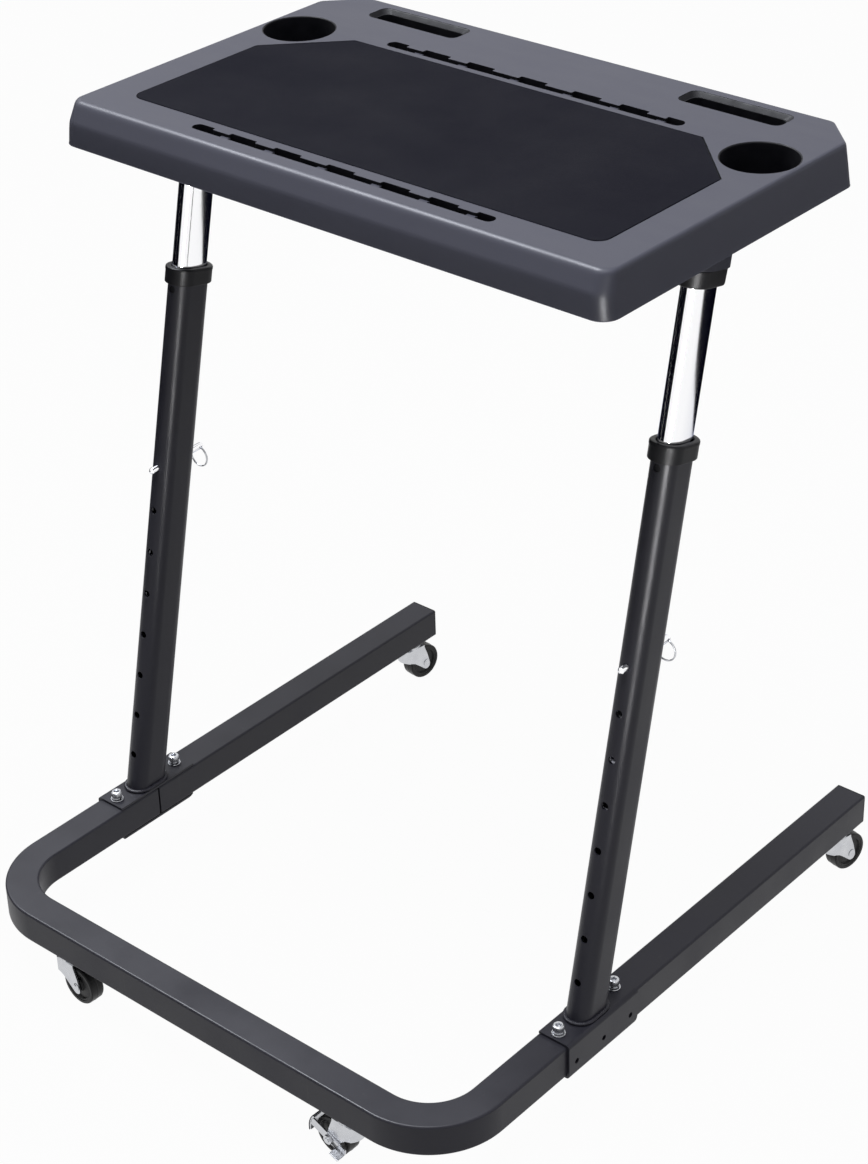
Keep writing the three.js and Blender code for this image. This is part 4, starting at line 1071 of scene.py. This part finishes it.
def make_tray():
    tray = raw("moulded_tray", loft([tray_ring(front, side) for front, side in EDGES]), TRAY)
    combine(tray, [tray_inside(SKIRT_WALL, DECK_WALL, 0.001)], "DIFFERENCE", TRAY)
    bulk = tray_inside(SKIRT_WALL / 2, DECK_WALL / 2, -0.003)
    inside = raw("inside", tray_parts()[0], TRAY)
    combine(inside, tray_parts()[1:], "UNION", TRAY)
    combine(inside, [bulk], "INTERSECT", TRAY)
    room = tray_block(-TRAY_HALF, TRAY_HALF, 0, TRAY_DEPTH, RIM - TRAY_HEIGHT, RIM + 0.006)
    limit = combine(raw("limit", bulk, TRAY), [room], "UNION", TRAY)
    socket = prism(obround(INNER_SIZE, SOCKET_SPREAD), SOCKET_START, INNER_END + TRAY_HEIGHT)
    bore = prism(obround(INNER_SIZE, AIR), SOCKET_START - PAST, INNER_END + AIR)
    frames = [leg_frame(side) for side in SIDES.values()]
    sockets = raw("sockets", merged(*[moved(socket, matrix) for matrix in frames]), TRAY)
    combine(sockets, [limit], "INTERSECT")
    combine(tray, [inside], "UNION")
    combine(tray, [sockets], "UNION")
    combine(tray, [moved(bore, matrix) for matrix in frames], "DIFFERENCE", TRAY)
    # The mat's gap, the wells, the slots, the grip pockets and their sloped ledges get the near-black
    # material: painted shade in these recesses.
    dark = [prism(mat_outline(MAT_GAP), DECK - MAT_SINK, DECK + PAST), well_cut(-1), well_cut(1)]
    dark += [slot_cut("front"), slot_cut("back")]
    dark += [pocket(side, 0.0, GRIP_LEDGE, DECK - GRIP_DEPTH, DECK + PAST) for side in SIDES.values()]
    combine(tray, [grip_ledge_cut(-1), grip_ledge_cut(1)], "DIFFERENCE", PAINTED_SHADE)
    combine(tray, dark, "DIFFERENCE", PAINTED_SHADE)
    combine(tray, slot_bridges("front") + slot_bridges("back"), "UNION", TRAY)
    finish(tray, TRAY, "desk", "tray", sharp=28, keep=True)


def make_mat():
    low = DECK - MAT_SINK + AIR
    steps = [(0.0, 0.0), (0.0, MAT_HEIGHT - 0.0009), (0.0003, MAT_HEIGHT - 0.0003), (0.0009, MAT_HEIGHT)]
    mat = raw("textured_mat", loft([level_ring(mat_outline(-inset), low + z) for inset, z in steps]))
    finish(mat, MAT, "desk", "mat")


# Casters


def caster_frame(tag):
    stem, wheel = middle("caster_stem_" + tag), middle("caster_wheel_" + tag)
    angle = math.atan2(wheel.y - stem.y, wheel.x - stem.x)
    return shift(stem.x, stem.y, 0) @ Matrix.Rotation(angle, 4, "Z")


def make_stem(tag, matrix):
    """Stem, upper race and kingpin."""
    low, high = RACE
    web, rim = FORK_TOP - FORK_WEB - AIR, RACE_RADIUS
    profile = [
        (0, high + STEM_LENGTH), (STEM_RADIUS, high + STEM_LENGTH), (STEM_RADIUS, high),
        (rim - 0.0016, high), (rim - 0.0005, high - 0.0004), (rim, high - 0.0012), (rim, low + 0.0012),
        (rim - 0.0005, low + 0.0004), (rim - 0.0014, low), (0.0045, low), (0.0045, web), (0.0062, web),
        (0.007, web - 0.0006), (0.0062, web - 0.0018), (0.004, web - 0.0025), (0, web - 0.0027),
    ]
    finish(raw("stem_" + tag, lathe(profile)), ZINC, "base", f"caster_stem_{tag}", matrix=matrix)


def fork_plan(inset):
    """Fork seen from above: round behind the stem, straight along the wheel."""
    half, radius = FORK_OUTER - inset, FORK_BACK_RADIUS - inset
    spread = math.asin(half / radius)
    back = arc((FORK_BACK_CENTRE, 0), radius, math.pi - spread, math.pi + spread, 22)
    return [Vector((FORK_FRONT, -half)), Vector((FORK_FRONT, half))] + back


def fork_side():
    """Fork seen from its side, from the crown down to the eyes of the axle."""
    eye = arc((TRAIL, WHEEL_RADIUS - FORK_EYE_DROP), FORK_EYE, math.radians(228), math.radians(380), 14)
    front = [(0.0222, 0.036), (0.0165, FORK_TOP - 0.003), (0.0160, FORK_TOP + 0.01)]
    return [Vector(point) for point in [(-0.024, FORK_TOP + 0.01)] + FORK_ARCH + eye + front]


def make_fork(tag, matrix):
    """Folded fork, its crown with the lower race, and the balls."""
    fork = raw("fork_" + tag, prism(fork_plan(0.0), FORK_LOW, FORK_TOP))
    room = block((-0.004, -FORK_INNER, FORK_LOW - PAST), (0.04, FORK_INNER, FORK_TOP - FORK_WEB))
    back = prism(fork_plan(FORK_SHEET), FORK_LOW - PAST, FORK_TOP - FORK_WEB)
    combine(fork, [across(prism(fork_side(), -0.03, 0.03))], "INTERSECT")
    combine(fork, [back, room], "DIFFERENCE")
    axle = rod((TRAIL, -0.03, WHEEL_RADIUS), (TRAIL, 0.03, WHEEL_RADIUS), AXLE_RADIUS + AIR, 24)
    combine(fork, [axle], "DIFFERENCE")
    soften(fork, 0.0006)
    cup = [
        (0.0048, FORK_TOP - 0.0005), (0.0132, FORK_TOP - 0.0005), (0.0133, FORK_TOP + 0.0004),
        (0.0142, FORK_TOP + 0.0020), (0.0153, FORK_TOP + 0.0034), (0.0154, CUP_TOP - 0.0004),
        (0.0149, CUP_TOP), (0.0122, CUP_TOP), (0.0114, CUP_TOP - 0.0014), (0.0048, CUP_TOP - 0.0014),
    ]
    ball = lathe(arc((0, 0), BALL_RADIUS, -QUARTER, QUARTER, 8), 12)
    spots = arc((0, 0), BALL_LINE, 0, 2 * math.pi, BALL_COUNT)[:-1]
    balls = merged(*[moved(ball, shift(spot.x, spot.y, CUP_TOP - 0.0008)) for spot in spots])
    crown, race = raw("fork_crown_" + tag, lathe(cup, 48, True)), raw("race_balls_" + tag, balls)
    for obj, nodes in ((fork, [f"caster_fork_{tag}"]), (crown, []), (race, [])):
        finish(obj, ZINC, "fork_" + tag, *nodes, matrix=matrix, sharp=38)


def make_wheel(tag, matrix):
    """Wheel turned from half of its section, from the hub out to the tread's middle, and its mirror image."""
    half, edge = WHEEL_HALF, WHEEL_RADIUS
    corners = [
        (0.0034, half), (0.0068, half), (0.0078, half - 0.0022), (0.0165, half - 0.0026),
        (0.0178, half - 0.0004), (0.0196, half - 0.0008), (0.0203, half), (0.0236, half),
        (edge - 0.0003, half - 0.0014), (edge - 0.0002, 0.0011), (edge, 0.0006),
    ]
    mirrored = [(radius, -z) for radius, z in reversed(corners)]
    easing = [0.0] + [0.0004] * (len(corners) - 1)
    profile = rounded(corners + [(edge, 0.0)] + mirrored, easing + [0.0] + easing[::-1], 3)
    wheel = raw("wheel_" + tag, lathe([tuple(point) for point in profile], 72, True))
    hub = matrix @ shift(TRAIL, 0, WHEEL_RADIUS) @ Matrix.Rotation(QUARTER, 4, "X")
    finish(wheel, WHEEL, f"wheel_{tag}", f"caster_wheel_{tag}", matrix=hub, sharp=30)


def make_axle(tag, matrix, has_brake):
    seat = FORK_OUTER + AIR
    far = seat + (BRAKE_REACH if has_brake else 0.0)
    head = [(0.0, 0.0021), (0.0022, 0.0019), (0.004, 0.0012), (0.005, 0.0003), (0.005, 0.0)]
    profile = [(radius, -seat - z) for radius, z in head] + [(AXLE_RADIUS, -seat), (AXLE_RADIUS, far)]
    if has_brake:
        profile += [(AXLE_RADIUS - 0.0005, far + 0.0006), (0.0, far + 0.0006)]
    else:
        profile += [(radius, seat + z) for radius, z in reversed(head)]
    hub = matrix @ shift(TRAIL, 0, WHEEL_RADIUS) @ Matrix.Rotation(-QUARTER, 4, "X")
    finish(raw("axle_" + tag, lathe(profile, 40)), ZINC, f"fork_{tag}", f"caster_axle_{tag}", matrix=hub)


def pad_band(inner, outer, sweep):
    """Outline of a band round the wheel, out along its outer arc and back along its inner one."""
    angles = [PAD_ANGLE + sweep * (step / PAD_STEPS - 0.5) for step in range(PAD_STEPS + 1)]
    spots = [(outer, angle) for angle in angles] + [(inner, angle) for angle in reversed(angles)]
    return [Vector((radius * math.cos(angle), radius * math.sin(angle))) for radius, angle in spots]


def make_brake(tag, matrix):
    """Lever cut from sheet, with a curved pad over the wheel and a folded foot tab."""
    hub = matrix @ shift(TRAIL, 0, WHEEL_RADIUS)
    tilt = Matrix.Rotation(-LEVER_ANGLE, 4, "Y")
    seat = FORK_OUTER + AIR
    face = seat + LEVER_PLATE
    start, end = -TAB_REACH - TAB_LENGTH / 2, PAD_RADIUS + 0.001
    half = LEVER_WIDTH / 2
    strap = rounded([(start, -half), (end, -half), (end, half), (start, half)], [0.003, 0.003, 0.004, 0.004])
    lever = raw("brake_strap", moved(across(prism(strap, -face, -seat)), tilt))
    low = -half
    section = rounded(
        [(-face, low + 0.004), (-face, low), (-face - TAB_WIDTH, low), (-face - TAB_WIDTH, low + LEVER_PLATE),
         (-seat, low + LEVER_PLATE), (-seat, low + 0.004)],
        [0, 0, 0.0008, 0.0008, 0, 0],
    )
    rings = [[Vector((x, -point.x, point.y)) for point in section] for x in (start, start + TAB_LENGTH)]
    outer = PAD_RADIUS + LEVER_PLATE
    pad = across(prism(pad_band(PAD_RADIUS, outer, PAD_SWEEP), -face, PAD_WIDTH - face))
    combine(lever, [moved(loft(rings), tilt), pad], "UNION")
    combine(lever, [rod((0, 0, 0), (0, 0.05, 0), AXLE_RADIUS + AIR, 24)], "DIFFERENCE")
    soften(lever, 0.0005)
    finish(lever, ZINC, "brake", "brake_lever", matrix=hub, sharp=38)
    band = pad_band(outer, outer + 0.001, PAD_SWEEP + 0.07)
    cover = raw("pad_cover", across(prism(band, -face - 0.0006, PAD_WIDTH - face)))
    soften(cover, 0.0003, 1)
    finish(cover, BLACK, "brake", matrix=hub, sharp=38)
    low, high = face + AIR, face + AIR + 0.0032
    under, over = low - 0.001, high + 0.0001
    turn = Matrix.Rotation(-QUARTER, 4, "X")
    ring = [(0.0033, low), (0.0062, low), (0.0062, high), (0.0033, high)]
    dome = [(0, under), (0.0066, under), (0.0066, high - 0.0012), (0.0054, over), (0, over)]
    nut = raw("axle_nut", moved(lathe(ring, 6, True), turn))
    combine(nut, [moved(lathe(dome, 40), turn)], "INTERSECT")
    finish(nut, ZINC, "fork_" + tag, "brake_nut", matrix=hub)


def make_caster(tag, has_brake):
    matrix = caster_frame(tag)
    make_stem(tag, matrix)
    make_fork(tag, matrix)
    make_wheel(tag, matrix)
    make_axle(tag, matrix, has_brake)
    if has_brake:
        make_brake(tag, matrix)


def dress_hidden_screws():
    """The screws inside the tray's sockets keep their solids and get their finish."""
    for name, node in frame["nodes"].items():
        if name.startswith("socket_screw"):
            node.data.materials.clear()
            node.data.materials.append(ZINC)


# Stage, light and camera


def seen_by(nodes, *rays):
    """Value of 1 for any of these kinds of ray."""
    path = nodes.node("ShaderNodeLightPath")
    seen = path.outputs[rays[0]]
    for ray in rays[1:]:
        seen = nodes.node("ShaderNodeMath", {0: seen, 1: path.outputs[ray]}, operation="MAXIMUM").outputs[0]
    return seen


def make_stage():
    """Pale floor that shows near white to the camera and keeps the shadow."""
    material = bpy.data.materials.new("pale_floor")
    material.use_nodes = True
    material.node_tree.nodes.clear()
    nodes = Nodes(material.node_tree)
    seen = seen_by(nodes, "Is Camera Ray", "Is Glossy Ray")
    share = nodes.node("ShaderNodeMath", {0: seen, 1: 0.97}, operation="MULTIPLY")
    matte = nodes.node("ShaderNodeBsdfDiffuse", {"Color": (0.42, 0.42, 0.42, 1)})
    glow = nodes.node("ShaderNodeEmission", {"Color": (1, 1, 1, 1)})
    mixed = nodes.node("ShaderNodeMixShader", {0: share, 1: matte, 2: glow})
    nodes.node("ShaderNodeOutputMaterial", {0: mixed})
    raw("floor", block((-30, -30, -0.02), (30, 30, -0.0001)), material)


def make_world():
    """Surroundings that are white where they are seen and dim where they light."""
    world = bpy.data.worlds.new("studio")
    bpy.context.scene.world = world
    world.use_nodes = True
    world.node_tree.nodes.clear()
    nodes = Nodes(world.node_tree)
    seen = seen_by(nodes, "Is Camera Ray", "Is Glossy Ray", "Is Transmission Ray")
    strength = nodes.node("ShaderNodeMapRange", {"To Min": 0.12, "To Max": 1.0, "Value": seen})
    sky = nodes.node("ShaderNodeBackground", {"Color": (1, 1, 1, 1), "Strength": strength})
    nodes.node("ShaderNodeOutputWorld", {0: sky})


def make_light(name, position, target, size, power, colour=(1, 1, 1), gloss_only=False, spread=180):
    light = bpy.data.lights.new(name, "AREA")
    light.shape = "DISK"
    light.size = size
    light.energy = power
    light.color = colour
    light.spread = math.radians(spread)
    obj = linked(name, light)
    obj.visible_diffuse = not gloss_only
    obj.visible_camera = False
    obj.location = position
    obj.rotation_euler = (Vector(target) - Vector(position)).to_track_quat("-Z", "Y").to_euler()


def make_sheets():
    """Dark sheets behind and to the left of the desk, which only show in its metal."""
    material = Finish("dark_sheet", (0.004, 0.004, 0.01), 1.0, Specular_IOR_Level=0.0).material
    sheets = {
        "behind": ((-3.4, 1.33, 0.002), (2.6, 3.4, 0.006)),
        "beside": ((-3.4, -3.2, 0.002), (-1.2, 1.32, 0.006)),
        "left": ((-3.52, -3.3, 0.01), (-3.42, 3.4, 1.3)),
        "front": ((-3.4, -3.4, 0.01), (-0.75, -3.3, 1.3)),
    }
    for name, (low, high) in sheets.items():
        sheet = raw("sheet_" + name, block(low, high), material)
        sheet.visible_camera = False
        sheet.visible_diffuse = False
        sheet.visible_shadow = False


def make_camera():
    level = Vector((-math.sin(AZIMUTH), math.cos(AZIMUTH), 0))
    look = level * math.cos(ELEVATION) - Vector((0, 0, math.sin(ELEVATION)))
    right = Vector((math.cos(AZIMUTH), math.sin(AZIMUTH), 0))
    up = right.cross(look)
    side = right * math.cos(ROLL) + up * math.sin(ROLL)
    top = up * math.cos(ROLL) - right * math.sin(ROLL)
    data = bpy.data.cameras.new("camera")
    data.sensor_width = 36
    data.lens = FOCAL_PIXELS / FRAME_HEIGHT * data.sensor_width
    data.shift_x, data.shift_y = SHIFT
    camera = linked("camera", data)
    camera.matrix_world = Matrix.Translation(EYE) @ Matrix((side, top, -look)).transposed().to_4x4()
    bpy.context.scene.camera = camera


make_front_tube()
for name, side in SIDES.items():
    make_rear_arm(name, side)
    make_arm_cap(name, side)
    make_bracket(name, side)
    for end_name in ENDS:
        make_bolt(f"{name}_{end_name}")
        make_washers(f"{name}_{end_name}")
    make_upright(name, side)
    make_weld(name, side)
    make_bush(name, side)
    make_inner_tube(name, side)
    make_collar(name, side)
    make_pin(name)
make_tray()
make_mat()
for caster_tag in ("front_left", "front_right", "rear_left", "rear_right"):
    make_caster(caster_tag, caster_tag == "front_right")
dress_hidden_screws()

make_stage()
make_world()
make_light("top_light", (-0.1, -0.6, 5.7), (0, 0, 0.7), 4.0, 212, (0.93, 0.95, 1.0))
make_light("corner_light", (2.3, -2.1, 0.25), (0.375, -0.14, 0.98), 1.2, 11.5, gloss_only=True, spread=26)
make_light("fold_light", (-2.4, 0.1, 4.4), (0, 0, 0.9), 1.5, 480, (0.9, 0.93, 1.0), gloss_only=True)
make_sheets()
make_camera()
bpy.context.scene.view_settings.view_transform = "Standard"
